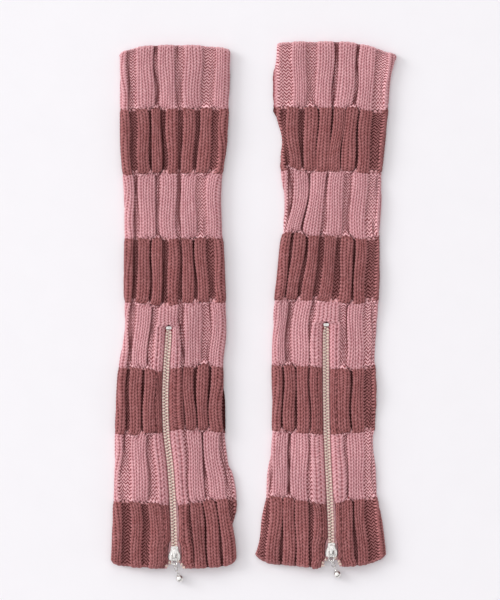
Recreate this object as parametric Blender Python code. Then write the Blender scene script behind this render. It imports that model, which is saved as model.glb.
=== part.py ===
# A pair of knitted arm warmers, laid flat side by side, each with a metal zip
# that runs up from its lower edge. Each tube lies on its back wall. "Down" is
# the distance below a tube's top edge, "across" the distance to the right of
# its own lengthwise axis, and both are in millimetres, like every size here.

import math
from collections import namedtuple

import bmesh
import bpy
from mathutils import Matrix, Vector

MM = 0.001

# The knitted wall, from the floor up
BACK_WALL = 2.4
INNER_GAP = 0.8
FRONT_WALL = 1.6
FOLD_RADIUS = (BACK_WALL + INNER_GAP + FRONT_WALL) / 2
INNER_FOLD_RADIUS = INNER_GAP / 2
RIB_OVERHANG = 1.2  # how far the ribs stand out, on average, past the wall at a side fold

# The ribs, counted in stitches
STITCHES_ROUND = 60
BACK_STEP = 5  # stitches between two columns of points on the plain underside
PINK_PERIOD, MAUVE_PERIOD = 6, 4
PINK_RIB_WIDTH, MAUVE_RIB_WIDTH = 12.3, 7.9
PINK_RIB_HEIGHT, MAUVE_RIB_HEIGHT = 2.2, 2.6
COLOUR_CHANGE = 1.5  # half the stretch in which one kind of rib turns into the other
CHANNEL_TAPER = 9.0  # a channel grows shallow this far before the colour changes
PINK_CHANNEL, MAUVE_CHANNEL = (0.5, 1.9), (0.1, 1.6)  # stitches from its middle to foot and shoulder
PINK_SHALLOW, MAUVE_SHALLOW = 0.15, 0.35  # share of the rib height that a channel regains there
PANEL_HEIGHT = 0.75  # share of the mauve rib height that the flat panels beside the zip have
PANEL_STITCHES = 3
ROLLED_EDGE_HEIGHT = 0.1
RIM_HEIGHT = 0.45
ROWS_IN_STRIPE = (0.03, 0.18, 0.4, 0.6, 0.82, 0.97)
RIM = 2.0
INNER_ROW_STEP = 8
INNER_ROW_STEP_AT_ZIP = 2
EDGE_SLANT_REACH = 45.0

# The zip, a number 3 in metal
TOOTH_ROW_WIDTH = 2.2
TOOTH_ROW_THICKNESS = 2.3
TOOTH_ROW_OFFSET = 1.25
TAPE_WIDTH = 9.0
TAPE_THICKNESS = 0.6
CLEARANCE = 0.3
TAPE_ABOVE_SLIT = 9.0
SLIT_END_LENGTH = 1.5  # the slit's upper end is rounded over this length
ROOM_BESIDE_CHAIN, ROOM_BESIDE_ROWS, ROOM_BESIDE_SLIDER = 0.6, 0.5, 0.4
SLIT_WIDENS_FROM, SLIT_WIDENS_TO = 14.0, 1.0  # above the slider
ROWS_PART_FROM, ROWS_PART_TO = -2.0, 4.0  # below the slider's middle
LIFT_FROM, LIFT_TO = 12.0, 3.0  # above the tape's upper end
LIFT_BESIDE_FROM, LIFT_BESIDE_TO = 1.0, 12.0  # beyond the tape's outer edge
STOP_WIDTH, STOP_LENGTH, STOP_THICKNESS = 4.7, 2.7, 2.6
STOP_BELOW_SLIT = 1.8
STOP_CHAMFER = 0.6
STOP_PROUD = 0.15
SLIDER_LENGTH, SLIDER_HALF_WIDTH = 11.5, 4.6
SLIDER_PLATE = 1.0
SLIDER_FLANGE = 0.7
SLIDER_RISE = 30.0  # the zip climbs onto the slider's lower plate over this length
SLIDER_RISE_ENDS = 3.0
# Half the outline of the slider's plates and the outline of its wedge, both
# from the end towards the closed zip to the end towards the hem
SliderPoint = namedtuple("SliderPoint", "across up")
SLIDER_SIDE = (
    SliderPoint(2.4, SLIDER_LENGTH / 2), SliderPoint(3.4, SLIDER_LENGTH / 2 - 0.9), SliderPoint(3.9, 1.0),
    SliderPoint(SLIDER_HALF_WIDTH, -2.8), SliderPoint(SLIDER_HALF_WIDTH, -4.6),
    SliderPoint(3.6, -SLIDER_LENGTH / 2),
)
SLIDER_WEDGE = (
    SliderPoint(0.0, 0.6), SliderPoint(0.75, -1.6), SliderPoint(0.85, -4.9),
    SliderPoint(-0.85, -4.9), SliderPoint(-0.75, -1.6),
)
FUSED_DEPTH = 0.3  # how deep one piece of the slider goes into the next
ROW_SPLAY_IN_SLIDER = 2.4
ROW_SPLAY_AT_HEM = 6.8
CROWN_WIDTH, CROWN_HALF_LENGTH, CROWN_WIRE = 2.2, 3.9, 1.0
CROWN_LEG = 1.4
PULL_WIRE = 0.5
PULL_CLEARANCE = 0.35
RING_HALF_WIDTH, RING_LENGTH = 2.0, 8.7
RING_CORNER = 0.7
LINK_HALF_LENGTH, LINK_HALF_WIDTH, LINK_WIRE = 2.0, 1.15, 0.35
LINK_PLAY = 0.1
LINKS = 3
EYE_RADIUS, EYE_WIRE = 0.95, 0.3
EYE_IN_DROP = 0.5
DROP_RADIUS, DROP_ABOVE_FLOOR = 2.8, 0.25

# Heights that follow from the sizes above
CHAIN_LEVEL = BACK_WALL + CLEARANCE + 0.05 + TOOTH_ROW_THICKNESS / 2
SLIDER_FLOOR = BACK_WALL + CLEARANCE
SLIDER_CHAIN_LEVEL = SLIDER_FLOOR + SLIDER_PLATE + CLEARANCE + TOOTH_ROW_THICKNESS / 2
SLIDER_TOP_PLATE = SLIDER_CHAIN_LEVEL + TOOTH_ROW_THICKNESS / 2 + CLEARANCE
PULL_LEVEL = SLIDER_TOP_PLATE + SLIDER_PLATE + PULL_CLEARANCE + PULL_WIRE
CROWN_UNDERSIDE = PULL_LEVEL + PULL_WIRE + PULL_CLEARANCE

# One row for each depth: the outline to the left and right of the axis, then
# where six wales lie, whose stitch numbers are in the warmer's own list.
Row = namedtuple("Row", "down left right a b c d e f")

LEFT_ROWS = (
    Row(0.0, -40.5, 42.5, -32.5, -13.5, -5.0, 4.0, 27.0, 44.5),
    Row(23.0, -40.0, 42.0, -32.5, -13.5, -4.5, 4.0, 26.5, 44.0),
    Row(71.5, -40.0, 40.0, -31.0, -12.5, -4.0, 5.0, 24.5, 40.5),
    Row(96.0, -39.5, 36.5, -29.5, -12.5, -4.0, 4.0, 22.5, 38.5),
    Row(121.5, -38.0, 35.5, -29.0, -12.5, -4.5, 3.5, 21.0, 37.0),
    Row(171.5, -38.5, 38.0, -29.5, -12.0, -3.5, 5.5, 22.5, 38.5),
    Row(220.0, -38.5, 39.5, -32.5, -16.0, -4.1, 4.0, 25.0, 40.5),
    Row(245.5, -42.0, 36.5, -34.5, -17.5, -5.8, 6.0, 23.0, 38.5),
    Row(270.5, -43.5, 37.0, -36.0, -18.5, -6.7, 7.0, 21.5, 36.5),
    Row(296.5, -44.5, 37.5, -36.5, -18.0, -5.9, 9.0, 22.5, 37.5),
    Row(321.0, -44.5, 42.5, -37.0, -17.0, -3.0, 11.5, 23.5, 40.0),
    Row(349.0, -45.0, 46.5, -37.0, -16.0, -0.9, 12.5, 26.0, 44.0),
    Row(372.0, -46.0, 46.0, -36.5, -13.5, 0.0, 13.5, 30.0, 47.0),
    Row(399.5, -47.5, 48.5, -37.0, -13.0, 0.8, 15.5, 31.5, 49.5),
)
RIGHT_ROWS = (
    Row(0.0, -36.5, 52.5, -33.0, -11.5, 7.5, 16.0, 24.5, 42.5),
    Row(25.5, -37.5, 48.5, -32.5, -12.0, 6.5, 15.0, 23.0, 41.0),
    Row(75.5, -34.0, 44.5, -32.5, -13.5, 2.5, 9.5, 17.5, 37.5),
    Row(100.0, -34.0, 42.0, -31.0, -14.0, 0.5, 7.5, 16.5, 36.0),
    Row(124.0, -31.5, 40.5, -29.0, -14.5, -2.0, 6.5, 15.5, 34.0),
    Row(148.5, -34.0, 39.0, -33.0, -19.0, -4.0, 5.5, 15.0, 33.5),
    Row(173.0, -37.5, 39.0, -37.0, -23.5, -5.5, 4.0, 14.0, 33.0),
    Row(198.5, -40.0, 38.5, -39.5, -27.0, -9.5, 0.5, 13.5, 32.5),
    Row(224.0, -41.5, 37.0, -41.0, -30.0, -13.5, -0.8, 13.0, 32.0),
    Row(249.5, -42.0, 36.0, -42.0, -29.5, -13.5, -0.8, 12.0, 31.5),
    Row(274.0, -41.5, 36.5, -42.5, -29.0, -13.5, -0.7, 11.5, 31.0),
    Row(299.0, -41.0, 36.5, -44.0, -29.0, -13.5, -0.2, 13.5, 31.5),
    Row(325.0, -43.5, 36.5, -45.5, -29.5, -13.5, 0.8, 15.5, 31.5),
    Row(352.5, -46.5, 38.0, -47.0, -29.5, -13.0, 2.2, 14.5, 33.0),
    Row(376.0, -50.0, 42.0, -48.5, -29.5, -12.5, 3.1, 14.0, 34.5),
    Row(400.5, -52.5, 44.5, -51.5, -30.0, -12.0, 3.4, 16.0, 36.0),
)

# How far the two ends of a tube stray from a straight line: rounded corners,
# a slope towards one side, and a belly in the middle.
EndShape = namedtuple("EndShape", "left_corner right_corner right_slope belly")

# One row for each material: its colour as red, green and blue, and its finish
Finish = namedtuple("Finish", "red green blue roughness metallic")
FINISHES = {
    "pink_wool": Finish(0.60, 0.30, 0.33, 0.90, 0.0),
    "mauve_wool": Finish(0.30, 0.11, 0.12, 0.92, 0.0),
    "pink_tape": Finish(0.62, 0.32, 0.34, 0.75, 0.0),
    "champagne_metal": Finish(0.62, 0.50, 0.42, 0.32, 1.0),
    "nickel_metal": Finish(0.72, 0.70, 0.67, 0.22, 1.0),
}


def smooth(low, high, value):
    share = min(max((value - low) / (high - low), 0.0), 1.0)
    return share * share * (3.0 - 2.0 * share)


def mix(first, second, share):
    return first + (second - first) * share


def through_rows(rows, field, down):
    # A cubic curve through one column of the table, with each row's slope
    # taken from its two neighbours.
    last = len(rows) - 1
    at = max(i for i in range(last) if rows[i].down <= down or i == 0)
    here, after = rows[at], rows[at + 1]
    before, beyond = rows[max(at - 1, 0)], rows[min(at + 2, last)]
    step = after.down - here.down
    share = min(max((down - here.down) / step, 0.0), 1.0)
    start, end = getattr(here, field), getattr(after, field)
    slope_in = (end - getattr(before, field)) / (after.down - before.down) * step
    slope_out = (getattr(beyond, field) - start) / (beyond.down - here.down) * step
    square, cube = share * share, share * share * share
    return (
        start * (2 * cube - 3 * square + 1)
        + slope_in * (cube - 2 * square + share)
        + end * (3 * square - 2 * cube)
        + slope_out * (cube - square)
    )


class Warmer:
    # One tube with its own axis, stripes, stitch numbers and zip.

    def __init__(self, name, axis_x, top_y, rows, stitches, zip_wale, front, stripes,
                 slit_top, slider_down, top_end, hem_end, drop_at):
        self.name = name
        self.axis_x, self.top_y = axis_x, top_y
        self.rows, self.stitches = rows, stitches
        self.zip_wale = zip_wale
        self.zip_stitch = stitches["abcdef".index(zip_wale)]
        self.front = front
        self.stripes = stripes
        self.length = stripes[-1]
        self.slit_top = slit_top
        self.slider_down = slider_down
        self.slider_start = slider_down - SLIDER_LENGTH / 2
        self.slider_end = slider_down + SLIDER_LENGTH / 2
        self.tape_top = slit_top - TAPE_ABOVE_SLIT
        self.top_end, self.hem_end = top_end, hem_end
        self.drop_at = drop_at

    def place(self, across, down, height):
        return Vector((self.axis_x + across, self.top_y - down, height)) * MM

    # The zip

    def zip_across(self, down):
        return through_rows(self.rows, self.zip_wale, down)

    def row_splay(self, down):
        # How far the middle of a tooth row lies from the middle of the zip.
        parted = smooth(self.slider_down + ROWS_PART_FROM, self.slider_down + ROWS_PART_TO, down)
        splay = mix(TOOTH_ROW_OFFSET, ROW_SPLAY_IN_SLIDER, parted)
        below = max(down - self.slider_end, 0.0) / (self.length - self.slider_end)
        return splay + (ROW_SPLAY_AT_HEM - ROW_SPLAY_IN_SLIDER) * min(below, 1.0)

    def chain_level(self, down):
        rise = smooth(self.slider_start - SLIDER_RISE, self.slider_start - SLIDER_RISE_ENDS, down)
        return mix(CHAIN_LEVEL, SLIDER_CHAIN_LEVEL, rise)

    def slit_half_width(self, down):
        if down <= self.slit_top:
            return 0.0
        rounded_end = math.sqrt(min((down - self.slit_top) / SLIT_END_LENGTH, 1.0))
        beside_chain = TOOTH_ROW_OFFSET + TOOTH_ROW_WIDTH / 2 + ROOM_BESIDE_CHAIN
        beside_slider = SLIDER_HALF_WIDTH + ROOM_BESIDE_SLIDER
        beside_rows = self.row_splay(down) + TOOTH_ROW_WIDTH / 2 + ROOM_BESIDE_ROWS
        above = self.slider_start - down
        at_slider = 1 - smooth(SLIT_WIDENS_TO, SLIT_WIDENS_FROM, above)
        return max(mix(beside_chain, beside_slider, at_slider), beside_rows) * rounded_end

    def tape_edges(self, down):
        inner = self.row_splay(down) + TOOTH_ROW_WIDTH / 2 + CLEARANCE
        return inner, inner + TAPE_WIDTH

    def lift(self, across, down):
        # The zip lies between the walls and raises the front one.
        needed = self.chain_level(down) + TAPE_THICKNESS / 2 + CLEARANCE + 0.1
        needed -= BACK_WALL + INNER_GAP
        beyond_tape = abs(across - self.zip_across(down)) - self.tape_edges(down)[1]
        lengthwise = smooth(self.tape_top - LIFT_FROM, self.tape_top - LIFT_TO, down)
        return needed * lengthwise * (1 - smooth(LIFT_BESIDE_FROM, LIFT_BESIDE_TO, beyond_tape))

    # The stitches

    def mauve_share(self, down):
        share = 0.0
        for number, edge in enumerate(self.stripes[1:-1]):
            turned = smooth(edge - COLOUR_CHANGE, edge + COLOUR_CHANGE, down)
            share += turned if number % 2 == 0 else -turned
        return share

    def flat_edges(self, down):
        inset = FOLD_RADIUS + RIB_OVERHANG
        left = through_rows(self.rows, "left", down) + inset
        return left, through_rows(self.rows, "right", down) - inset

    def girth(self, down):
        left, right = self.flat_edges(down)
        return 2 * (right - left) + 2 * math.pi * FOLD_RADIUS

    def knots(self, down):
        # Stitch numbers from the right of the zip, round the tube, to the left
        # of it, each with its distance along the section.
        beside_zip = down + self.edge_shift(self.zip_across(down), down)
        half = self.slit_half_width(beside_zip)
        middle = self.zip_across(beside_zip)
        girth = self.girth(down)
        places = [(s, through_rows(self.rows, w, down)) for s, w in zip(self.stitches, "abcdef")]
        right = [pair for pair in places if pair[0] > self.zip_stitch]
        left = [(s + STITCHES_ROUND, q + girth) for s, q in places if s < self.zip_stitch]
        end = (self.zip_stitch + STITCHES_ROUND, middle - half + girth)
        return [(self.zip_stitch, middle + half)] + right + left + [end]

    def along(self, stitch, down):
        knots = self.knots(down)

        def even(s):
            at = max(i for i in range(len(knots) - 1) if knots[i][0] <= s or i == 0)
            (s0, q0), (s1, q1) = knots[at], knots[at + 1]
            return q0 + (q1 - q0) * (s - s0) / (s1 - s0)

        def ribbed(period, rib_width):
            # A knit rib keeps its width, and the purl channels share the rest.
            first = period * math.floor(stitch / period)
            if first < knots[0][0] or first + period > knots[-1][0]:
                return even(stitch)
            start, end = even(first), even(first + period)
            rib = min(max(rib_width / (end - start), 0.5), 0.85)
            share = (stitch - first) / period
            if share < 0.25:
                share = share * 2 * (1 - rib)
            elif share < 0.75:
                share = (1 - rib) / 2 + (share - 0.25) * 2 * rib
            else:
                share = 1 - (1 - share) * 2 * (1 - rib)
            return start + (end - start) * share

        return mix(
            ribbed(PINK_PERIOD, PINK_RIB_WIDTH),
            ribbed(MAUVE_PERIOD, MAUVE_RIB_WIDTH),
            self.mauve_share(down),
        )

    def rib_height(self, stitch, down):
        def ridge(period, channel):
            from_channel = abs((stitch + period / 2) % period - period / 2)
            return smooth(*channel, from_channel)

        to_edge = min(abs(down - edge) for edge in self.stripes)
        shallow = 1 - smooth(0, CHANNEL_TAPER, to_edge)
        pink = mix(ridge(PINK_PERIOD, PINK_CHANNEL), 1.0, PINK_SHALLOW * shallow)
        mauve = mix(ridge(MAUVE_PERIOD, MAUVE_CHANNEL), 1.0, MAUVE_SHALLOW * shallow)
        beside_zip = min(stitch - self.zip_stitch, self.zip_stitch + STITCHES_ROUND - stitch)
        if down > self.slit_top:
            channel = MAUVE_PERIOD * round(stitch / MAUVE_PERIOD)
            to_left, to_right = channel - self.zip_stitch - STITCHES_ROUND, channel - self.zip_stitch
            if min(abs(to_left), abs(to_right)) <= 1 and beside_zip <= PANEL_STITCHES:
                mauve = PANEL_HEIGHT
            rolled = ROLLED_EDGE_HEIGHT if beside_zip == 0 else 1.0
            pink, mauve = pink * rolled, mauve * rolled
        height = mix(pink * PINK_RIB_HEIGHT, mauve * MAUVE_RIB_HEIGHT, self.mauve_share(down))
        at_rim = min(down, self.length - down)
        return height * mix(RIM_HEIGHT, 1.0, smooth(0, RIM, at_rim))

    def edge_shift(self, across, down):
        left, right = through_rows(self.rows, "left", down), through_rows(self.rows, "right", down)
        offset = (across - (left + right) / 2) / ((right - left) / 2)
        offset = min(max(offset, -1.0), 1.0)

        def bend(end):
            corners = end.left_corner * max(-offset, 0) ** 6 + end.right_corner * max(offset, 0) ** 6
            slope = end.right_slope * max(offset, 0) ** 2
            return corners + slope - end.belly * (1 - offset * offset)

        near_top = max(1 - down / EDGE_SLANT_REACH, 0) ** 2
        near_hem = max(1 - (self.length - down) / EDGE_SLANT_REACH, 0) ** 2
        return bend(self.top_end) * near_top - bend(self.hem_end) * near_hem

    # The two surfaces of the wall

    def section(self, stitch, down):
        # Across, height and normal of the tube's outer side without its ribs,
        # and the same place on its plain inside.
        left, right = self.flat_edges(down)
        flat, turn = right - left, math.pi * FOLD_RADIUS
        along = (self.along(stitch, down) - left) % self.girth(down)
        if along < flat:
            centre, angle = left + along, 0.0
        elif along < flat + turn:
            centre, angle = right, (along - flat) / FOLD_RADIUS
        elif along < 2 * flat + turn:
            centre, angle = right - (along - flat - turn), math.pi
        else:
            centre, angle = left, math.pi + (along - 2 * flat - turn) / FOLD_RADIUS
        normal = (math.sin(angle), math.cos(angle))
        outer = (centre + FOLD_RADIUS * normal[0], FOLD_RADIUS * (1 + normal[1]))
        inner = (
            centre + INNER_FOLD_RADIUS * normal[0],
            BACK_WALL + INNER_FOLD_RADIUS * (1 + normal[1]),
        )
        return outer, inner, normal

    def outer_point(self, stitch, down):
        (across, height), _, normal = self.section(stitch, down)
        rib = self.rib_height(stitch, down) * min(1 + normal[1], 1.0)
        raised = self.lift(across, down) * max(normal[1], 0.0)
        across += rib * normal[0]
        height = max(height + rib * normal[1], 0.0) + raised
        return self.place(across, down + self.edge_shift(across, down), height)

    def inner_point(self, stitch, down):
        _, (across, height), normal = self.section(stitch, down)
        raised = self.lift(across, down) * max(normal[1], 0.0)
        return self.place(across, down + self.edge_shift(across, down), height + raised)

    # Where the rings and columns of points lie

    def columns(self):
        low, high = self.front
        right = range(self.zip_stitch, high + 1)
        back = range(high + BACK_STEP, low + STITCHES_ROUND - 2, BACK_STEP)
        left = range(low + STITCHES_ROUND, self.zip_stitch + STITCHES_ROUND + 1)
        return [*right, *back, *left]

    def downs(self):
        needed = [0.0, RIM, self.length - RIM, self.length]
        needed += [self.slit_top, self.slit_top + 0.5, self.slit_top + STOP_BELOW_SLIT - 0.2]
        needed += [self.tape_top - LIFT_FROM, self.tape_top - LIFT_TO]
        needed += [self.slider_start - 7, self.slider_start, self.slider_end]
        spread = []
        for start, end in zip(self.stripes, self.stripes[1:]):
            spread += [mix(start, end, share) for share in ROWS_IN_STRIPE]
        spread = [d for d in spread if min(abs(d - n) for n in needed) > 1.6]
        return sorted(needed + spread)


LEFT = Warmer(
    "left", -61.8, 204.8, LEFT_ROWS, (0, 6, 9, 12, 18, 24), "c", (-6, 28),
    (0.0, 47.0, 96.0, 147.0, 196.5, 246.5, 297.0, 349.5, 399.5),
    slit_top=213.0, slider_down=389.8,
    top_end=EndShape(4.5, 3.0, 0.0, 1.2), hem_end=EndShape(3.0, 6.0, 0.0, 1.5), drop_at=(4.3, 21.2),
)
RIGHT = Warmer(
    "right", 56.1, 208.7, RIGHT_ROWS, (-12, -6, 0, 3, 6, 12), "d", (-16, 19),
    (0.0, 50.0, 99.5, 148.5, 198.5, 248.5, 299.0, 351.0, 400.5),
    slit_top=214.5, slider_down=391.0,
    top_end=EndShape(1.0, 3.0, 7.0, 0.4), hem_end=EndShape(2.6, 7.0, 0.0, 3.5), drop_at=(4.9, 19.6),
)


def material(name):
    finish = FINISHES[name]
    made = bpy.data.materials.get(name) or bpy.data.materials.new(name)
    made.use_nodes = True
    shader = made.node_tree.nodes["Principled BSDF"]
    shader.inputs["Base Color"].default_value = (finish.red, finish.green, finish.blue, 1.0)
    shader.inputs["Roughness"].default_value = finish.roughness
    shader.inputs["Metallic"].default_value = finish.metallic
    return made


def add_object(name, data, *material_names):
    made = bpy.data.objects.new(name, data)
    for material_name in material_names:
        data.materials.append(material(material_name))
    bpy.context.scene.collection.objects.link(made)
    return made


def mesh_from(name, shape):
    bmesh.ops.recalc_face_normals(shape, faces=shape.faces)
    mesh = bpy.data.meshes.new(name)
    shape.to_mesh(mesh)
    shape.free()
    return mesh


def knitted_tube(warmer):
    columns, downs = warmer.columns(), warmer.downs()
    last = len(columns) - 1
    slit_row = downs.index(warmer.slit_top)
    inner_rows = {*range(0, slit_row, INNER_ROW_STEP), *range(slit_row, len(downs), INNER_ROW_STEP_AT_ZIP)}
    inner_rows |= {row for row, down in enumerate(downs) if -21 < down - warmer.slit_top < 4}
    inner_rows |= {row for row, down in enumerate(downs) if down > warmer.slider_start - 16}
    inner_rows = sorted(inner_rows)
    shape = bmesh.new()

    def ring_of(point_at, down):
        ring = [shape.verts.new(point_at(stitch, down)) for stitch in columns[:-1]]
        closing = ring[0] if down <= warmer.slit_top else shape.verts.new(point_at(columns[-1], down))
        return ring + [closing]

    outer = [ring_of(warmer.outer_point, down) for down in downs]
    inner = {row: ring_of(warmer.inner_point, downs[row]) for row in inner_rows}

    def skin(upper, lower, stripe):
        for i in range(last):
            face = shape.faces.new((upper[i], upper[i + 1], lower[i + 1], lower[i]))
            face.material_index = stripe % 2
            face.smooth = True

    def stripe_of(row):
        middle = (downs[row] + downs[row + 1]) / 2
        return sum(middle > edge for edge in warmer.stripes[1:-1])

    for row in range(len(downs) - 1):
        skin(outer[row], outer[row + 1], stripe_of(row))
    for upper, lower in zip(inner_rows, inner_rows[1:]):
        skin(inner[upper], inner[lower], stripe_of(upper))
    for row, stripe in ((0, 0), (len(downs) - 1, 1)):
        skin(outer[row], inner[row], stripe)

    def slit_wall(column):
        for upper, lower in zip(inner_rows, inner_rows[1:]):
            if upper < slit_row:
                continue
            corner = inner[upper][column]
            for row in range(upper, lower):
                face = shape.faces.new((corner, outer[row][column], outer[row + 1][column]))
                face.material_index = stripe_of(row) % 2
            face = shape.faces.new((corner, outer[lower][column], inner[lower][column]))
            face.material_index = stripe_of(upper) % 2

    slit_wall(0)
    slit_wall(last)
    name = f"{warmer.name}_tube"
    return add_object(name, mesh_from(name, shape), "pink_wool", "mauve_wool")


def ribbon(warmer, name, downs, edges, side, thickness, finish):
    # A flat bar that follows the zip between two distances from its middle.
    shape = bmesh.new()
    rings = []
    for down in downs:
        middle, level = warmer.zip_across(down), warmer.chain_level(down)
        near, far = edges(down)
        corners = ((near, -1), (far, -1), (far, 1), (near, 1))
        rings.append([
            shape.verts.new(warmer.place(middle + side * across, down, level + up * thickness / 2))
            for across, up in corners
        ])
    for upper, lower in zip(rings, rings[1:]):
        for i in range(4):
            shape.faces.new((upper[i], upper[(i + 1) % 4], lower[(i + 1) % 4], lower[i]))
    shape.faces.new(rings[0])
    shape.faces.new(rings[-1])
    return add_object(name, mesh_from(name, shape), finish)


def zip_ribbons(warmer):
    def evenly(start, end, count):
        return [mix(start, end, i / count) for i in range(count + 1)]

    def tooth_edges(down):
        splay = warmer.row_splay(down)
        return splay - TOOTH_ROW_WIDTH / 2, splay + TOOTH_ROW_WIDTH / 2

    stop_end = warmer.slit_top + STOP_BELOW_SLIT + STOP_LENGTH
    bend = warmer.slider_down - 3
    parting = evenly(bend, warmer.length - 1.2, 6)
    tape_downs = evenly(warmer.tape_top, bend, 14)[:-1] + parting
    tooth_downs = evenly(stop_end + CLEARANCE, bend, 13)[:-1] + parting
    for word, side in (("left", -1), ("right", 1)):
        ribbon(warmer, f"{warmer.name}_zip_tape_{word}", tape_downs, warmer.tape_edges, side,
               TAPE_THICKNESS, "pink_tape")
        ribbon(warmer, f"{warmer.name}_zip_teeth_{word}", tooth_downs, tooth_edges, side,
               TOOTH_ROW_THICKNESS, "champagne_metal")


def prism(outline, low, high, axis="Z"):
    # A straight solid between two levels. Its outline is in the plane across
    # the axis: across and up the part for Z, up the part and height for X.
    shape = bmesh.new()
    turn = {"Z": lambda p, level: (p[0], p[1], level), "X": lambda p, level: (level, p[0], p[1])}[axis]
    ends = [[shape.verts.new(Vector(turn(p, level)) * MM) for p in outline] for level in (low, high)]
    count = len(outline)
    for i in range(count):
        j = (i + 1) % count
        shape.faces.new((ends[0][i], ends[0][j], ends[1][j], ends[1][i]))
    shape.faces.new(ends[0])
    shape.faces.new(ends[1])
    return shape


def joined(base, pieces):
    # The base with each other piece fused to it.
    for index, piece in enumerate(pieces):
        piece.hide_render = True
        piece.display_type = "WIRE"
        union = base.modifiers.new(f"fuse_{index}", "BOOLEAN")
        union.operation = "UNION"
        union.object = piece
    return base


def stop(warmer):
    centre = warmer.slit_top + STOP_BELOW_SLIT + STOP_LENGTH / 2
    half_width, half_length = STOP_WIDTH / 2, STOP_LENGTH / 2
    outline = []
    for x, y in ((1, 1), (-1, 1), (-1, -1), (1, -1)):
        on_end = (x * (half_width - STOP_CHAMFER), y * half_length)
        on_side = (x * half_width, y * (half_length - STOP_CHAMFER))
        outline += (on_end, on_side) if x * y < 0 else (on_side, on_end)
    name = f"{warmer.name}_zip_stop"
    shape = prism(outline, -STOP_THICKNESS / 2, STOP_THICKNESS / 2)
    made = add_object(name, mesh_from(name, shape), "nickel_metal")
    made.location = warmer.place(warmer.zip_across(centre), centre, warmer.chain_level(centre) + STOP_PROUD)
    return made


def slider(warmer):
    # Two plates held apart by a wedge, with lips at the sides that leave a slot
    # for the tapes, and a bridge on top for the pull.
    outline = [*SLIDER_SIDE, *((-x, y) for x, y in reversed(SLIDER_SIDE))]
    plate_tops = (SLIDER_FLOOR + SLIDER_PLATE, SLIDER_TOP_PLATE + SLIDER_PLATE)
    name = f"{warmer.name}_zip_slider"
    where = warmer.place(warmer.zip_across(warmer.slider_down), warmer.slider_down, 0)

    def piece(word, shape):
        made = add_object(word, mesh_from(word, shape), "nickel_metal")
        made.location = where
        return made

    top = piece(name, prism(outline, SLIDER_TOP_PLATE, plate_tops[1]))
    fused = [piece(f"{name}_floor", prism(outline, SLIDER_FLOOR, plate_tops[0]))]
    depths = (plate_tops[0] - FUSED_DEPTH, SLIDER_TOP_PLATE + FUSED_DEPTH)
    fused.append(piece(f"{name}_wedge", prism(SLIDER_WEDGE, *depths)))
    slot = TAPE_THICKNESS / 2 + CLEARANCE
    shoulder, corner, tail = SLIDER_SIDE[2:5]
    outer = corner.across - 0.04  # just inside the plates' own edge
    inner = corner.across - SLIDER_FLANGE
    flange = ((shoulder.across, shoulder.up - 0.2), (outer, corner.up), (outer, tail.up))
    flange += ((inner, tail.up), (inner, corner.up))
    for word, side in (("left", -1), ("right", 1)):
        lip = [(side * x, y) for x, y in flange]
        lower = prism(lip, depths[0], SLIDER_CHAIN_LEVEL - slot)
        upper = prism(lip, SLIDER_CHAIN_LEVEL + slot, depths[1])
        fused += [piece(f"{name}_lower_lip_{word}", lower), piece(f"{name}_upper_lip_{word}", upper)]
    foot, rise, reach = plate_tops[1] - FUSED_DEPTH, CROWN_UNDERSIDE + CROWN_WIRE, CROWN_HALF_LENGTH
    arch_out = ((-reach, foot), (-reach, rise - 1.0), (-reach + 1.0, rise))
    leg = -reach + CROWN_LEG
    arch_in = ((leg, foot), (leg, CROWN_UNDERSIDE - 0.2), (leg + 0.2, CROWN_UNDERSIDE))
    arch = [*arch_out, *((-y, z) for y, z in reversed(arch_out))]
    arch += [*((-y, z) for y, z in arch_in), *reversed(arch_in)]
    fused.append(piece(f"{name}_crown", prism(arch, -CROWN_WIDTH / 2, CROWN_WIDTH / 2, "X")))
    return joined(top, fused)


def wire_loop(name, points, wire, sides, finish):
    curve = bpy.data.curves.new(name, "CURVE")
    curve.dimensions = "3D"
    curve.bevel_depth = wire * MM
    curve.bevel_resolution = sides
    spline = curve.splines.new("POLY")
    spline.points.add(len(points) - 1)
    for target, (x, y, z) in zip(spline.points, points):
        target.co = (x * MM, y * MM, z * MM, 1.0)
    spline.use_cyclic_u = True
    return add_object(name, curve, finish)


def stadium(half_length, half_width, steps):
    # A closed path round two half circles, long in Y.
    straight = half_length - half_width
    path = []
    for end in (1, -1):
        for i in range(steps + 1):
            angle = math.pi * i / steps
            across, along = half_width * math.cos(angle), straight + half_width * math.sin(angle)
            path.append((end * across, end * along))
    return path


def ring_path():
    # Half round at the lower end, with small corners at the bar under the bridge
    half, corner = RING_HALF_WIDTH, RING_CORNER
    straight = RING_LENGTH - half
    near_corner = (half - corner / 7, -corner / 3.5)
    right = ((half - corner / 1.4, 0.0), near_corner, (half, -corner))
    path = list(right)
    for i in range(7):
        angle = math.pi * i / 6
        path.append((half * math.cos(angle), -straight - half * math.sin(angle)))
    path += [(-x, y) for x, y in reversed(right)]
    return path


def wire_torus(name, centre, across, along, radius, wire, finish):
    # A small closed wire ring in the plane of the two given directions
    shape = bmesh.new()
    side = along.cross(across)
    rings = []
    for i in range(10):
        turn = 2 * math.pi * i / 10
        outward = along * math.cos(turn) + across * math.sin(turn)
        middle = centre + outward * radius
        round_wire = (2 * math.pi * k / 6 for k in range(6))
        rings.append([
            shape.verts.new((middle + (outward * math.cos(a) + side * math.sin(a)) * wire) * MM)
            for a in round_wire
        ])
    for i, ring_here in enumerate(rings):
        ring_next = rings[(i + 1) % 10]
        for k in range(6):
            m = (k + 1) % 6
            shape.faces.new((ring_here[k], ring_next[k], ring_next[m], ring_here[m]))
    return add_object(name, mesh_from(name, shape), finish)


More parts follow.
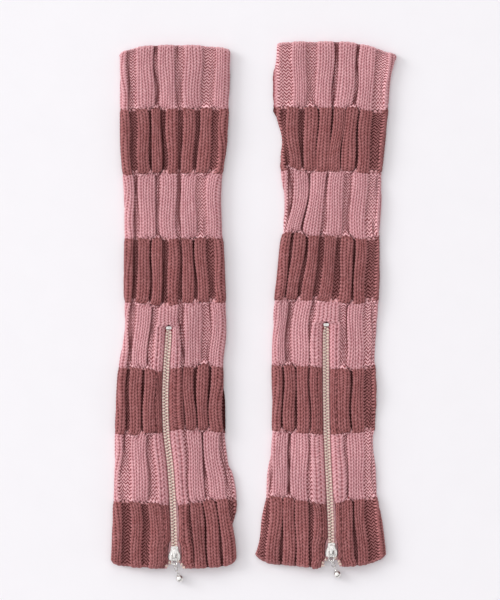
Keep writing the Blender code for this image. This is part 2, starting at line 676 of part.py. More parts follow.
def pull(warmer):
    # Everything here turns about the ring's upper bar, which lies under the
    # bridge: a long ring, a short chain of links and a ball drop.
    hinge = warmer.place(warmer.zip_across(warmer.slider_down), warmer.slider_down, PULL_LEVEL)
    ring_points = [(x, y, 0.0) for x, y in ring_path()]
    ring = wire_loop(f"{warmer.name}_pull_ring", ring_points, PULL_WIRE, 2, "nickel_metal")
    ring.location = hinge

    drop_across, drop_down = warmer.drop_at
    drop = Vector((drop_across, -drop_down, DROP_RADIUS + DROP_ABOVE_FLOOR - PULL_LEVEL))
    start = Vector((0, -RING_LENGTH + 2 * PULL_WIRE, 0))
    run = (drop - start).normalized()
    # A link's own frame: long along the chain, then on edge or flat by turns
    flat = Vector((0, 0, 1)) - run * run.z
    flat.normalize()
    first = start + run * (LINK_HALF_LENGTH - PULL_WIRE - LINK_PLAY / 2)
    pitch = 2 * (LINK_HALF_LENGTH - LINK_WIRE) - LINK_PLAY
    oval = stadium(LINK_HALF_LENGTH, LINK_HALF_WIDTH, 5)
    for number in range(LINKS):
        centre = first + run * pitch * number
        on_edge = number % 2 == 0
        up = run.cross(flat) if on_edge else flat
        across = run.cross(up)
        points = [tuple(centre + across * x + run * y) for x, y in oval]
        link = wire_loop(f"{warmer.name}_pull_link_{number + 1}", points, LINK_WIRE, 1, "nickel_metal")
        link.location = hinge

    chain_end = pitch * (LINKS - 1) + LINK_HALF_LENGTH - LINK_WIRE
    eye = first + run * (chain_end + EYE_RADIUS - EYE_WIRE - LINK_PLAY)
    centre = eye + run * (EYE_RADIUS + DROP_RADIUS - EYE_IN_DROP)
    centre.z = drop.z
    shape = bmesh.new()
    bmesh.ops.create_uvsphere(shape, u_segments=14, v_segments=9, radius=DROP_RADIUS * MM)
    bmesh.ops.transform(shape, matrix=Matrix.Translation(centre * MM), verts=shape.verts)
    name = f"{warmer.name}_pull_drop"
    ball = add_object(name, mesh_from(name, shape), "nickel_metal")
    ball.location = hinge
    eye_ring = wire_torus(f"{name}_eye", eye, run.cross(flat), run, EYE_RADIUS, EYE_WIRE, "nickel_metal")
    eye_ring.location = hinge
    joined(ball, [eye_ring])


def stand_on_origin():
    # The middle of the pair's box goes over the origin, its underside on z = 0.
    bpy.context.view_layer.update()
    graph = bpy.context.evaluated_depsgraph_get()
    corners = []
    for item in bpy.context.scene.objects:
        if item.hide_render:
            continue
        mesh = item.evaluated_get(graph).to_mesh()
        corners += [item.matrix_world @ vertex.co for vertex in mesh.vertices]
        item.evaluated_get(graph).to_mesh_clear()
    low = [min(corner[i] for corner in corners) for i in range(3)]
    high = [max(corner[i] for corner in corners) for i in range(3)]
    shift = Vector((-(low[0] + high[0]) / 2, -(low[1] + high[1]) / 2, -low[2]))
    for item in bpy.context.scene.objects:
        item.location += shift


def main():
    for item in list(bpy.data.objects):
        bpy.data.objects.remove(item)
    for warmer in (LEFT, RIGHT):
        knitted_tube(warmer)
        zip_ribbons(warmer)
        stop(warmer)
        slider(warmer)
        pull(warmer)
    stand_on_origin()


main()
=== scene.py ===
import math
from collections import namedtuple

import bmesh
import bpy
import numpy as np
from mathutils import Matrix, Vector


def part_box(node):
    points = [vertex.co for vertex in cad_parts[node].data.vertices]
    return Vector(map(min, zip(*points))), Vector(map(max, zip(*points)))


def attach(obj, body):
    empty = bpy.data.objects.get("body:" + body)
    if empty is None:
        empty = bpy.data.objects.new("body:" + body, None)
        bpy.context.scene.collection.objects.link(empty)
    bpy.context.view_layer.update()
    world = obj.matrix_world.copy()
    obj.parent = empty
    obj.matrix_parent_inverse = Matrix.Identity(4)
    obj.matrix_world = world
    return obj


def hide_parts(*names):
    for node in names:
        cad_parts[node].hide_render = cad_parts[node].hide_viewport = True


# A pair of rib-knitted arm warmers, laid flat. As in the solids, "down" is the distance below a tube's
# top edge, "across" the distance to the right of its own lengthwise axis, both in millimetres.

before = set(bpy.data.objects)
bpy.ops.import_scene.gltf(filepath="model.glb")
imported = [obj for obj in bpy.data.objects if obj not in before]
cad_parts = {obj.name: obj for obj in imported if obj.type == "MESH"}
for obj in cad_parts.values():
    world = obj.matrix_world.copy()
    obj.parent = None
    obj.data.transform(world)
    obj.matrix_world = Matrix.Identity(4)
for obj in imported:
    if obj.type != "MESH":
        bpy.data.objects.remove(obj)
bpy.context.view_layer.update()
mm = 0.001   # metres
print("frame loaded")


def mix(first, second, share):
    return first + (second - first) * share


def smoothStep(low, high, value):
    share = np.clip((value - low) / (high - low), 0.0, 1.0)
    return share * share * (3.0 - 2.0 * share)


def dome(offset, power):
    # 1 in the middle, falling as a rounded shoulder to 0 at an offset of 1
    return (1.0 - np.clip(np.abs(offset), 0.0, 1.0) ** power) ** (1.0 / power)


def addObject(name, data):
    thing = bpy.data.objects.new(name, data)
    bpy.context.scene.collection.objects.link(thing)
    return thing


def addPiece(mesh, material, body, node):
    # Shows a mesh in place of one of the solids
    mesh.materials.append(material)
    piece = addObject(mesh.name, mesh)
    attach(piece, body)
    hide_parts(node)
    return piece


# Colours and nodes

def linear(hexColour):
    # An sRGB hex value as linear red, green, blue and alpha
    parts = [int(hexColour[i:i + 2], 16) / 255 for i in (0, 2, 4)]
    return [p / 12.92 if p <= 0.04045 else ((p + 0.055) / 1.055) ** 2.4 for p in parts] + [1.0]


def addNode(tree, kind, inputs=None, output=0, **settings):
    # Adds a node and gives one of its outputs. Each input is a value or another node's output
    node = tree.nodes.new("ShaderNode" + kind)
    for name, value in settings.items():
        setattr(node, name, value)
    for socket, value in (inputs or {}).items():
        if isinstance(value, bpy.types.NodeSocket):
            tree.links.new(value, node.inputs[socket])
        else:
            node.inputs[socket].default_value = value
    return node.outputs[output] if node.outputs else node


def calc(operation, *values):
    # The tree is the one that holds the first of the values that is a node's output
    tree = next(value.id_data for value in values if isinstance(value, bpy.types.NodeSocket))
    return addNode(tree, "Math", dict(enumerate(values)), operation=operation)


def wave(operation, turns):
    # The sine or cosine of a number of whole turns
    return calc(operation, calc("MULTIPLY", turns, 2 * math.pi))


def between(value, *ends):
    # Turns the stretch between the first two ends into the stretch between the other two
    return addNode(value.id_data, "MapRange", dict(enumerate((value, *ends))))


def blend(share, first, second):
    tree = (first if isinstance(share, float) else share).id_data
    return addNode(tree, "Mix", {0: share, 2: first, 3: second}, data_type="FLOAT")


def blendColours(share, *colours):
    # Each colour is a hex value or another node's output
    first, second = (linear(colour) if isinstance(colour, str) else colour for colour in colours)
    return addNode(share.id_data, "Mix", {0: share, 6: first, 7: second}, 2, data_type="RGBA")


def noise(where, size, detail):
    # size is in millimetres
    return addNode(where.id_data, "TexNoise", {"Vector": where, "Scale": 1 / (size * mm), "Detail": detail})


def newMaterial(name):
    material = bpy.data.materials.new(name)
    material.use_nodes = True
    tree = material.node_tree
    tree.nodes.clear()
    return material, tree


def finishMaterial(tree, inputs):
    addNode(tree, "OutputMaterial", {"Surface": addNode(tree, "BsdfPrincipled", inputs)})


knitLook = {
    "heatherSize": 3.0,       # mm, lighter and darker flecks along the yarn
    "fibreSize": 0.3,         # mm, single fibres, drawn coarser than the real 0.02 mm so that they show
    "wearSize": 40.0,         # mm, broad unevenness of the dye
    "strandLean": 1.0,        # rows that a stitch's leg climbs from the wale's edge to its middle
    "gapWidth": 0.8,          # how wide the painted shade in the gaps between the legs is
    "gapDark": (-0.7, 0.7, 0.22, 1.0),         # how dark that painted shade is, from between their dots to the dots
    "strandDark": 0.6,        # how dark the painted shade on the legs gets where one row meets the next
    "purlCurves": 1.25,       # curves that the purl bumps' zigzag makes to a stitch
    "purlZigzag": 0.8,        # rows between the top and bottom of such a curve
    "purlUneven": 0.9,        # rows that the flecks push it up or down
    "purlWave": (-0.9, 0.35, 0.06, 1.12),      # painted shade from the gaps between purl bumps to their tops
    "purlPaintedLift": 0.65,       # painted light: how much brighter than knit stitches the purl bumps are drawn
    "beadBright": 0.6, "beadPlain": 0.5, "beadShade": 0.9,   # the two end rows are brighter and plainer
    "toneSpread": (0.34, 0.66, 0.0, 1.0),      # from the flecks' and fibres' noise to the yarn's tone
    "dyeSpread": (0.35, 0.65, 0.95, 1.05),     # from the dye's noise to its strength
    "litDepth": 0.8,          # the share of a rib's height above which no painted shade of the channels lies on it
    "crowdShadePower": 2.0,      # how fast the painted shade deepens where the wales crowd
    "purlPaintedShading": (0.55, 1.0, 0.72, 1.17),     # painted shade on purl where the wales crowd, painted light where they spread
    "edgeRow": 0.45,          # rows from a change of colour to the other yarn's dots
    "dotReach": (0.62, 0.3), "dotStretch": 1.6,   # their outer and inner edges in rows, and their narrowness
    "hemRow": 158.0,          # no such dots from this row on
    "shine": 0.22, "bloom": 0.14, "bump": 0.4 * mm, "fibreBump": 0.6,
}


def knitMaterial(name, bright, mid, deepPaintedShade, channel, dots=None):
    # Spun wool and acrylic yarn, knitted. It gives soft matt legs in each stitch with painted shade
    # in the gaps between them, a zigzag of small bumps in the purl channels and a pale bloom of fibres
    # at grazing angles.
    material, tree = newMaterial(name)
    look = knitLook
    across = addNode(tree, "SeparateXYZ", {0: addNode(tree, "UVMap", uv_map="stitches")})
    row = across.node.outputs[1]
    info = addNode(tree, "Attribute", output="Color", attribute_name="knitInfo")
    isKnit = addNode(tree, "SeparateColor", {0: info})
    depth, bead = isKnit.node.outputs[1:3]
    # The alpha holds painted shade: in tight channels, in the channels away from the right edge, and on the
    # back layer where it peeks out
    light = info.node.outputs["Alpha"]
    fromEdge = calc("PINGPONG", across, 0.5)
    where = addNode(tree, "TexCoord", output="Object")
    flecks = noise(where, look["heatherSize"], 3.0)

    # Each leg of a stitch has a number of its own, so that no two look the same
    climb = calc("MULTIPLY_ADD", fromEdge, -2 * look["strandLean"], row)
    half = calc("FLOOR", calc("MULTIPLY", across, 2.0))
    which = addNode(tree, "CombineXYZ", {0: half, 1: calc("FLOOR", climb)})
    chance = addNode(tree, "TexWhiteNoise", {"Vector": which}, noise_dimensions="2D")

    # Painted shade in the gaps between the legs: a column of dots at the wale's edge, and one in its middle
    # half a row on
    leg = calc("ABSOLUTE", wave("SINE", across))
    column = between(leg, 0.0, look["gapWidth"], 1.0, 0.0)
    dot = wave("COSINE", calc("ADD", row, fromEdge))
    dot = between(dot, *look["gapDark"])
    gap = calc("MULTIPLY", column, dot)
    strand = between(wave("COSINE", climb), -1.0, 1.0, 1.0, look["strandDark"])
    knitWave = calc("MULTIPLY", strand, calc("SUBTRACT", 1.0, gap))

    purlAcross = calc("PINGPONG", calc("MULTIPLY", across, look["purlCurves"]), 0.5)
    uneven = calc("SUBTRACT", flecks, 0.5)
    uneven = calc("MULTIPLY_ADD", uneven, look["purlUneven"], row)
    zigzag = calc("MULTIPLY_ADD", purlAcross, 2 * look["purlZigzag"], uneven)
    purlWave = between(wave("COSINE", zigzag), *look["purlWave"])
    reliefAndPaintedShade = blend(isKnit, purlWave, knitWave)

    fibres = noise(where, look["fibreSize"], 2.0)
    dye = noise(where, look["wearSize"], 1.0)

    # The yarn's own tone, from flecks, fibres and the leg's number, with painted light on the purl bumps,
    # then painted shade in the gaps and on the channels' floors
    tone = between(blend(0.5, flecks, fibres), *look["toneSpread"])
    tone = blend(0.5, tone, chance)
    # Painted light on the purl bumps, lifting them against their shade in the channels
    purl = between(isKnit, 0.0, 1.0, look["purlPaintedLift"], 0.0)
    tone = calc("ADD", tone, purl)
    tone = calc("MULTIPLY_ADD", bead, look["beadBright"], tone)
    yarn = blendColours(tone, mid, bright)
    # Painted shade on the channels' floors, fading out up the ribs
    floor = between(depth, 0.0, look["litDepth"], channel, 1.0)
    shade = calc("MULTIPLY", reliefAndPaintedShade, floor)
    plain = calc("MULTIPLY", bead, look["beadPlain"])
    shade = blend(plain, shade, look["beadShade"])
    crowdPaintedShade = calc("POWER", light, look["crowdShadePower"])
    shade = calc("MULTIPLY", shade, crowdPaintedShade)
    colour = blendColours(shade, deepPaintedShade, yarn)
    # The dye's broad unevenness, with painted shade on crowded purl and painted light on wide purl
    dyeAndPaintedLight = between(dye, *look["dyeSpread"])
    paintedPurlShading = between(light, *look["purlPaintedShading"])
    paintedPurlShading = blend(isKnit, paintedPurlShading, 1.0)
    dyeAndPaintedLight = calc("MULTIPLY", dyeAndPaintedLight, paintedPurlShading)
    colour = addNode(tree, "HueSaturation", {"Color": colour, "Value": dyeAndPaintedLight})

    if dots:
        # At a change of colour the purl columns show the other yarn as one bright bump each
        fromChange = calc("PINGPONG", row, knit["rowsInStripe"] / 2)
        upDown = calc("SUBTRACT", fromChange, look["edgeRow"])
        side = calc("MULTIPLY", calc("SUBTRACT", fromEdge, 0.5), look["dotStretch"])
        away = addNode(tree, "CombineXYZ", {0: upDown, 1: side})
        away = addNode(tree, "VectorMath", {0: away}, 1, operation="LENGTH")
        spot = between(away, *look["dotReach"], 0.0, 1.0)
        notKnit = between(isKnit, 0.3, 0.6, 1.0, 0.0)
        notHem = calc("LESS_THAN", row, look["hemRow"])
        spot = calc("MULTIPLY", calc("MULTIPLY", spot, notKnit), notHem)
        colour = blendColours(spot, colour, dots)

    relief = calc("MULTIPLY_ADD", fibres, look["fibreBump"], reliefAndPaintedShade)
    normal = addNode(tree, "Bump", {"Strength": 0.9, "Distance": look["bump"], "Height": relief})
    shine = calc("MULTIPLY", shade, look["shine"])
    bloom = calc("MULTIPLY", shade, look["bloom"])
    finishMaterial(tree, {
        "Base Color": colour, "Normal": normal, "Roughness": 0.9, "IOR": 1.54, "Specular IOR Level": shine,
        "Sheen Weight": bloom, "Sheen Roughness": 0.4, "Sheen Tint": linear("F0C9CB"),
    })
    return material


def tapeMaterial():
    # Woven polyester tape in a twill, with the dull sheen of smooth filaments
    material, tree = newMaterial("wovenPolyesterTwillTape")
    where = addNode(tree, "TexCoord", output="Object")
    turned = addNode(tree, "Mapping", {"Vector": where, "Rotation": (0, 0, math.radians(35))})
    twill = addNode(tree, "TexWave", {"Vector": turned, "Scale": 1 / (20 * 0.45 * mm), "Distortion": 1.0,
                                      "Detail": 2.0, "Detail Scale": 2.0}, 1, bands_direction="X")
    colour = blendColours(twill, "CF979D", "E2AFB4")
    normal = addNode(tree, "Bump", {"Strength": 0.5, "Distance": 0.15 * mm, "Height": twill})
    finishMaterial(tree, {"Base Color": colour, "Normal": normal, "Roughness": 0.62, "IOR": 1.57,
                          "Sheen Weight": 0.2, "Sheen Roughness": 0.3})
    return material


def platedMaterial(name, light, dark, roughness, grain):
    # Plated metal: the grain is what the stamping or tumbling left, which scatters the shine a little
    material, tree = newMaterial(name)
    worn = noise(addNode(tree, "TexCoord", output="Object"), grain, 4.0)
    colour = blendColours(worn, dark, light)
    dull = between(worn, 0.3, 0.7, roughness * 0.8, roughness * 1.35)
    normal = addNode(tree, "Bump", {"Strength": 0.3, "Distance": 0.04 * mm, "Height": worn})
    finishMaterial(tree, {"Base Color": colour, "Normal": normal, "Metallic": 1.0, "Roughness": dull})
    return material


# The two warmers

Row = namedtuple("Row", "down left right a b c d e f")
End = namedtuple("End", "leftCorner rightCorner rightSlope belly power")
Crease = namedtuple("Crease", "down across lean length width depth")
Drift = namedtuple("Drift", "down across reach amount")   # rows pulled down, or up, in one place
Peek = namedtuple("Peek", "side start end amount")   # where the back layer shows beyond the front one

leftRows = (
    Row(0, -40.5, 42.5, -32.5, -13.5, -5, 4, 27, 44.5),
    Row(23, -40, 42, -32.5, -13.5, -4.5, 4, 26.5, 44),
    Row(71.5, -40, 39.3, -31, -12.5, -4, 5, 24.5, 40.5),
    Row(96, -38.4, 36.2, -29.5, -12.5, -4, 4, 22.5, 38.5),
    Row(121.5, -36.8, 35.5, -29, -12.5, -4.5, 3.5, 21, 37),
    Row(171.5, -37, 37.6, -29.5, -12, -3.5, 5.5, 22.5, 38.5),
    Row(220, -37, 39.2, -32.5, -16, -4.1, 4, 25, 40.5),
    Row(245.5, -41, 36.8, -34.5, -17.5, -5.8, 6, 23, 38.5),
    Row(270.5, -42.8, 37.4, -36, -18.5, -6.7, 7, 21.5, 36.5),
    Row(296.5, -44, 38.3, -36.5, -18, -5.9, 9, 22.5, 37.5),
    Row(321, -44.2, 41.4, -37, -17, -3, 11.5, 23.5, 40),
    Row(331, -44.6, 45, -37, -16.6, -2.2, 11.9, 24.5, 41.6),
    Row(349, -45, 47, -37, -16, -0.9, 12.5, 26, 44),
    Row(372, -46, 46, -36.5, -13.5, 0, 13.5, 30, 47),
    Row(399.5, -47.5, 48.5, -37, -13, 0.8, 15.5, 31.5, 49.5),
)
rightRows = (
    Row(0, -38.3, 52.5, -33, -11.5, 7.5, 16, 24.5, 42.5),
    Row(25.5, -38.6, 47.8, -32.5, -12, 6.5, 15, 23, 41),
    Row(50, -38, 45.8, -32.5, -12.7, 4.6, 12.3, 20.2, 39.3),
    Row(75.5, -34.4, 43.2, -32.5, -13.5, 2.5, 9.5, 17.5, 37.5),
    Row(100, -34, 40.9, -29.4, -13.3, 0.8, 7.5, 16.5, 36),
    Row(124, -31.5, 40.5, -29, -14.5, -2, 6.5, 15.5, 34),
    Row(148.5, -34, 39, -34.2, -19.6, -4, 5.5, 15, 33.5),
    Row(173, -36.6, 39, -37, -23.5, -5.5, 4, 14, 33),
    Row(198.5, -40, 38.5, -39.5, -27, -9.5, 0.5, 13.5, 32.5),
    Row(224, -41, 37, -41, -30, -13.5, -0.8, 13, 32),
    Row(249.5, -41.5, 36, -42, -29.5, -13.5, -0.8, 12, 31.5),
    Row(274, -40.6, 36.5, -42.5, -29, -13.5, -0.7, 11.5, 31),
    Row(299, -41, 35.8, -44, -29, -13.5, -0.2, 13.5, 31.5),
    Row(325, -45.2, 36.5, -45.5, -29.5, -13.5, 0.8, 15.5, 31.5),
    Row(352.5, -47.2, 38, -47, -29.5, -13, 2.2, 14.5, 33),
    Row(376, -50.2, 41.5, -48.5, -29.5, -12.5, 3.1, 14, 34.5),
    Row(400.5, -54.2, 43.8, -51.5, -30, -12, 3.4, 16, 36),
)

# The columns a to f of the rows are the wales whose numbers stand under "stitches". An edge of a rib on
# the slit's own stitch is kept "besideSlit". "front" is the stitches that are drawn finely. A crease is a
# soft trough, or a ridge where its depth is negative: its middle, its lean in degrees from lengthwise,
# its half length, half width and depth
leftWarmer = {
    "name": "left", "axisX": -61.8, "topY": 204.8, "rows": leftRows,
    "stitches": (0, 6, 9, 12, 18, 24), "zipWale": "c", "zipStitch": 9, "besideSlit": 9.2, "front": (-6, 28),
    "stripes": (0, 47, 97.2, 147, 196.5, 246.5, 297, 349.5, 399.5),
    "slitTop": 213, "sliderDown": 389.8,
    "topEnd": End(4.5, 2.2, 0, 1.2, 4), "hemEnd": End(3, 5.5, 0, 1.5, 10), "dropAt": (4.3, 21.2),
    "peeks": (Peek(1, 18, 36, 1.3), Peek(1, 262, 296, 1.6)),
    "drifts": (
        Drift(47, -34, 8, 1.2), Drift(97, -36, 10, 1), Drift(147, 28.5, 3, -1.8),
        Drift(196.5, -9, 12, 3.2), Drift(246.5, -12, 8, 2.7), Drift(246.5, 24, 10, -2.6),
        Drift(297, 6, 11, -3.2), Drift(297, 26, 9, -2), Drift(297, -33, 11, 1.5),
        Drift(349.5, -2, 18, 2.6), Drift(349.5, 40, 14, -2.5),
    ),
    # For each stripe, the stitch that its first rib edge follows, then where each rib edge lies half way
    # down it. The flat panels beside the zip hide some
    "ribEdges": (
        (-1.5, -36.3, -28.6, -15.7, -11.3, 0.5, 7.9, 21.1, 32.2),
        (-1, -34.1, -27.8, -19.4, -16.7, -9.8, -4.6, 3.1, 7.2, 15.7, 19.7, 28.5, 34.5),
        (-1.5, -31, -26.7, -14.5, -10.6, 1.2, 5.5, 16.5, 25.2, 35.6),
        (-1, -31.8, -27.4, -18.8, -16.4, -9, -3.5, 4, 6.9, 15, 17.4, 25.5, 31.9),
        (-1.5, -34.9, -30.2, -19.5, -14.2, 4.5, 8.8, 21, 29.5),
        (-1, -37.7, -34.1, -25.5, -23.1, None, None, 6.7, 7.9, 15.4, 17.7, 25.5, 27.4, 36),
        (-1.5, -41, -32.6, -20.8, -13.4, 9.2, 11.8, 21.9, 24.8, 36.6),
        (-1, -40, -32.6, -24.5, -17.9, None, None, 12.4, 14.9, 23.4, 25.6, 34.5, 36.6),
    ),
    "creases": (
        Crease(30, -10, 8, 26, 5, 0.7), Crease(62, 22, -6, 30, 6, 0.8), Crease(100, -28, 5, 34, 5, -0.6),
        Crease(128, 14, -12, 24, 6, 0.7), Crease(176, -20, 6, 30, 7, 0.8), Crease(205, 24, 14, 26, 6, 0.7),
        Crease(262, 29, 5, 30, 4, 0.9), Crease(322, 30, -12, 24, 5, 0.9), Crease(330, -26, -6, 30, 6, -0.7),
        Crease(372, 22, -22, 18, 4, 0.9), Crease(385, 36, -16, 18, 5, -0.8), Crease(378, -24, 10, 20, 5, 0.6),
    ),
}
rightWarmer = {
    "name": "right", "axisX": 56.1, "topY": 208.7, "rows": rightRows,
    "stitches": (-12, -6, 0, 3, 6, 12), "zipWale": "d", "zipStitch": 3, "besideSlit": 2.8, "front": (-16, 19),
    "stripes": (0, 50, 99.5, 148.5, 198.5, 248.5, 299, 351, 400.5),
    "slitTop": 214.5, "sliderDown": 391,
    "topEnd": End(1, -1, 11, 0, 6), "hemEnd": End(4.5, 4.6, 0, 3.5, 10), "dropAt": (4.9, 19.6),
    "peeks": (Peek(-1, 22, 56, 2.4),),
    "drifts": (
        Drift(50, 40, 15, 3.2), Drift(99.5, 38, 13, 2.2), Drift(99.5, -27, 5, -2.8),
        Drift(148.5, 32, 17, 2.8), Drift(148.5, -27, 6, -3.2), Drift(198.5, 18, 17, 3),
        Drift(248.5, 14, 24, 3.1), Drift(299, 0, 27, 2.7), Drift(351, -1, 17, 4.2),
        Drift(351, -43, 13, -1.8), Drift(400.5, -30, 12, -1), Drift(400.5, -10, 5, 1.2),
    ),
    "ribEdges": (
        (-13.5, -37.5, -26.2, -16.2, -7.7, 4.4, 8.8, 21.3, 24.6, 36.1, 45.4),
        (-13, -35, -30.6, -22.1, -17.7, -8.4, -7.1, 2, 3.2, 11.3, 12.2, 21.9, 24.3, 33.1, 41),
        (-13.5, -30, -26, -15.9, -14, -3.2, 0.4, 11.8, 18.4, 29.8, 38.2),
        (-9, -30.5, -28.3, -19.7, -16.2, -8.3, -2.7, 5.1, 10.6, 19.2, 21.5, 29.5, 37.4),
        (-7.5, -32.6, -27.1, -14.7, -12, 9.8, 16.1, 27.9, 36.6),
        (-9, -35, -33, -24.8, -22.8, -14.5, -12.4, None, None, 16.9, 19.2, 27.9, 35),
        (-10.5, -41.9, -30.8, -27.8, -15.3, -12, 14, 16.6, 28.4, 36.4),
        (-9, -35.5, -33.5, -25, -23.8, -14.3, -10.1, None, None, 19.4, 22.3, 29.7, 38.5),
    ),
    "creases": (
        Crease(24, 30, -5, 24, 6, 0.8), Crease(55, -14, 10, 28, 5, 0.7), Crease(92, 24, -8, 30, 6, -0.6),
        Crease(122, -22, 24, 24, 5, 0.9), Crease(160, 12, 12, 34, 6, 0.7), Crease(196, -28, 8, 24, 6, 0.8),
        Crease(232, -10, -6, 30, 5, -0.6), Crease(272, 28, 0, 32, 5, 0.8), Crease(318, -34, 4, 30, 6, 0.7),
        Crease(345, 24, -8, 26, 5, 0.7), Crease(380, 12, -14, 20, 6, -0.7), Crease(386, -34, 14, 20, 5, 0.8),
    ),
}

wall = {"back": 2.4, "gap": 0.8, "front": 1.6, "overhang": 1.2}
foldRadius = (wall["back"] + wall["gap"] + wall["front"]) / 2
innerFoldRadius = wall["gap"] / 2
foldInset = foldRadius + wall["overhang"]   # from a tube's edge in to where its fold begins
knit = {
    "stitchesRound": 60, "rowsInStripe": 20,
    "columnsAStitch": 6, "columnsAStitchBehind": 2, "samplesARow": 4, "innerStep": 20,
    "pinkPeriod": 6, "mauvePeriod": 4,
    "pinkRibWidth": 12.3, "mauveRibWidth": 7.9, "pinkRibHeight": 2.2, "mauveRibHeight": 2.6,
    "ribPower": 2.4, "ribBulge": 0.45,     # how square a rib's section is, and how far its sides bulge
    "channelDepth": 0.2,      # how far the channels sink below the wall's plain face
    "spreadChange": 3.5,      # half the stretch in which the spacing of one rib turns into the other's
    "channelEnd": 5.0,        # a channel's floor climbs this far before a rib of the next stripe
    "endHeight": 0.82,        # a rib's height where it meets the next stripe
    "legHeight": 0.6, "rowHeight": 0.45, "purlHeight": 0.5,
    "edgeReach": 45.0,        # how far into the tube its ends' curves are felt
    "beadLength": 1.7, "beadHeight": 0.5,  # the chain of loops along both ends
    "rowSag": 1.5,            # how much lower knit columns hang than purl ones in a row
    "scallop": 1.3, "scallopReach": 6.0,   # how far knit ribs stand out at the two ends
    "tightChannel": 0.7, "wideChannel": 2.6, "pinchShade": 0.41,   # mm a stitch, and how much painted shade tight ones get
    "deepShade": 0.07, "deepFrom": (6, 11),    # painted shade in the channels, and mm from the right edge between which it sets in
    "rolledEdge": 0.6, "thinEdge": 1.2,        # stitches beside the slit that roll over, and that thin down
    "edgeTaper": 1.1,         # how far they thin down to the chain
    "widePanel": (2.2, 3.0), "narrowPanel": (0.8, 1.4), "panelHeight": 0.75,   # flat stitches beside the zip
    "loopLength": 0.7,        # how far each stitch's loop stands out in the cast-on and cast-off rows
    "driftReach": 12.0,       # how far along the tube rows that drift are felt
    "wander": 0.28, "ribBow": 0.8,         # mm that a single wale and a rib's edge sway
    "peekShade": 0.55, "peekSmooth": 0.7,  # how much painted shade, and how much flatter the knit, where the back shows
    "backHemRise": 6.0, "backHemHalfWidth": 15.0,   # how much shorter the back is behind the open zip
    "lipShare": 0.45, "lipLength": 0.4,        # how far in the rounded lip of an end lies, and its length
    "floorGap": 0.08,         # how far the underside clears the floor
    "floorRelief": 0.12,      # how much of its stitches' relief is left there
}
zipSizes = {
    "toothRowWidth": 2.2, "toothRowThickness": 2.3, "toothRowOffset": 1.25, "pitch": 2.35,
    "tapeWidth": 9.0, "tapeThickness": 0.6, "clearance": 0.3, "tapeAboveSlit": 9.0, "cordRadius": 0.65,
    "stopWidth": 4.7, "stopLength": 2.7, "stopThickness": 2.6, "stopBelowSlit": 1.8, "stopProud": 0.15,
    "sliderLength": 11.5, "sliderHalfWidth": 4.6, "sliderRise": 30.0, "sliderRiseEnds": 3.0,
    "splayInSlider": 2.4, "splayAtHem": 6.8,   # how far the rows part, each from the middle
    "plate": 1.0, "besideRow": 0.3, "besideSlider": 0.4,   # the slit's edges stand clear of both
    "seamLeft": 7.2, "seamRight": 8.1, "seamStitch": 4.7, "seamDepth": 1.25, "seamWidth": 0.7,
    "showTapeFrom": 42.0, "showTape": 1.2,   # the right edge stands back above the slider and shows the tape
    "showTapeEase": 12,
    "liftAbove": (12, 3), "liftBeside": (1, 12),   # mm from the tapes where the front wall begins to rise
    "toothBevel": 0.3, "headTaper": 0.18, "firstTooth": 0.9,   # mm from the stop to the first tooth
    "stopCorner": 0.8, "stopBevel": 0.4,
}
tapeReach = zipSizes["toothRowWidth"] / 2 + zipSizes["clearance"] + zipSizes["tapeWidth"]
# Heights of the closed chain's middle, the slider's underside, the chain inside it and its upper plate
halfTooth = zipSizes["toothRowThickness"] / 2
chainLevel = wall["back"] + zipSizes["clearance"] + 0.05 + halfTooth
sliderFloor = wall["back"] + zipSizes["clearance"]
sliderChainLevel = sliderFloor + zipSizes["plate"] + zipSizes["clearance"] + halfTooth
sliderTopPlate = sliderChainLevel + halfTooth + zipSizes["clearance"]

# Each yarn: its bright and mid tones, the colour its painted shade goes to, and the share of colour kept
# under the painted shade on its channels' floors
pinkYarn = knitMaterial("spunWoolPinkKnitted", "EEB9BF", "D89CA4", "76181D", 0.86)
mauveYarn = knitMaterial("spunWoolMauveKnitted", "BC7D7E", "9B5B5B", "380405", 0.6, dots="EDB0B5")
tapeCloth = tapeMaterial()
platedBrass = platedMaterial("champagnePlatedStampedBrass", "FBE9DD", "E6CFC0", 0.42, 0.5)
platedZinc = platedMaterial("nickelPlatedDiecastZinc", "F4F2F0", "DEDBD8", 0.22, 1.2)
platedSteel = platedMaterial("nickelPlatedSteelWire", "F2F0EE", "DCD9D6", 0.15, 0.8)
print("materials made")


def rowAt(warmer, field, down):
    # A cubic curve through one column of the warmer's rows
    rows = warmer["rows"]
    last = len(rows) - 1
    at = max(i for i in range(last) if rows[i].down <= down or i == 0)
    here, after = rows[at], rows[at + 1]
    before, beyond = rows[max(at - 1, 0)], rows[min(at + 2, last)]
    step = after.down - here.down
    share = min(max((down - here.down) / step, 0.0), 1.0)
    start, end = getattr(here, field), getattr(after, field)
    slopeIn = (end - getattr(before, field)) / (after.down - before.down) * step
    slopeOut = (getattr(beyond, field) - start) / (beyond.down - here.down) * step
    square, cube = share ** 2, share ** 3
    return (start * (2 * cube - 3 * square + 1) + slopeIn * (cube - 2 * square + share)
            + end * (3 * square - 2 * cube) + slopeOut * (cube - square))


def place(warmer, across, down, height):
    # Points of the frame, in metres, from places on a tube
    points = np.stack(np.broadcast_arrays(warmer["axisX"] + across, warmer["topY"] - down, height), -1)
    return points * mm + frameShift


def zipAcross(warmer, down):
    return rowAt(warmer, warmer["zipWale"], down)


def sliderStart(warmer):
    return warmer["sliderDown"] - zipSizes["sliderLength"] / 2


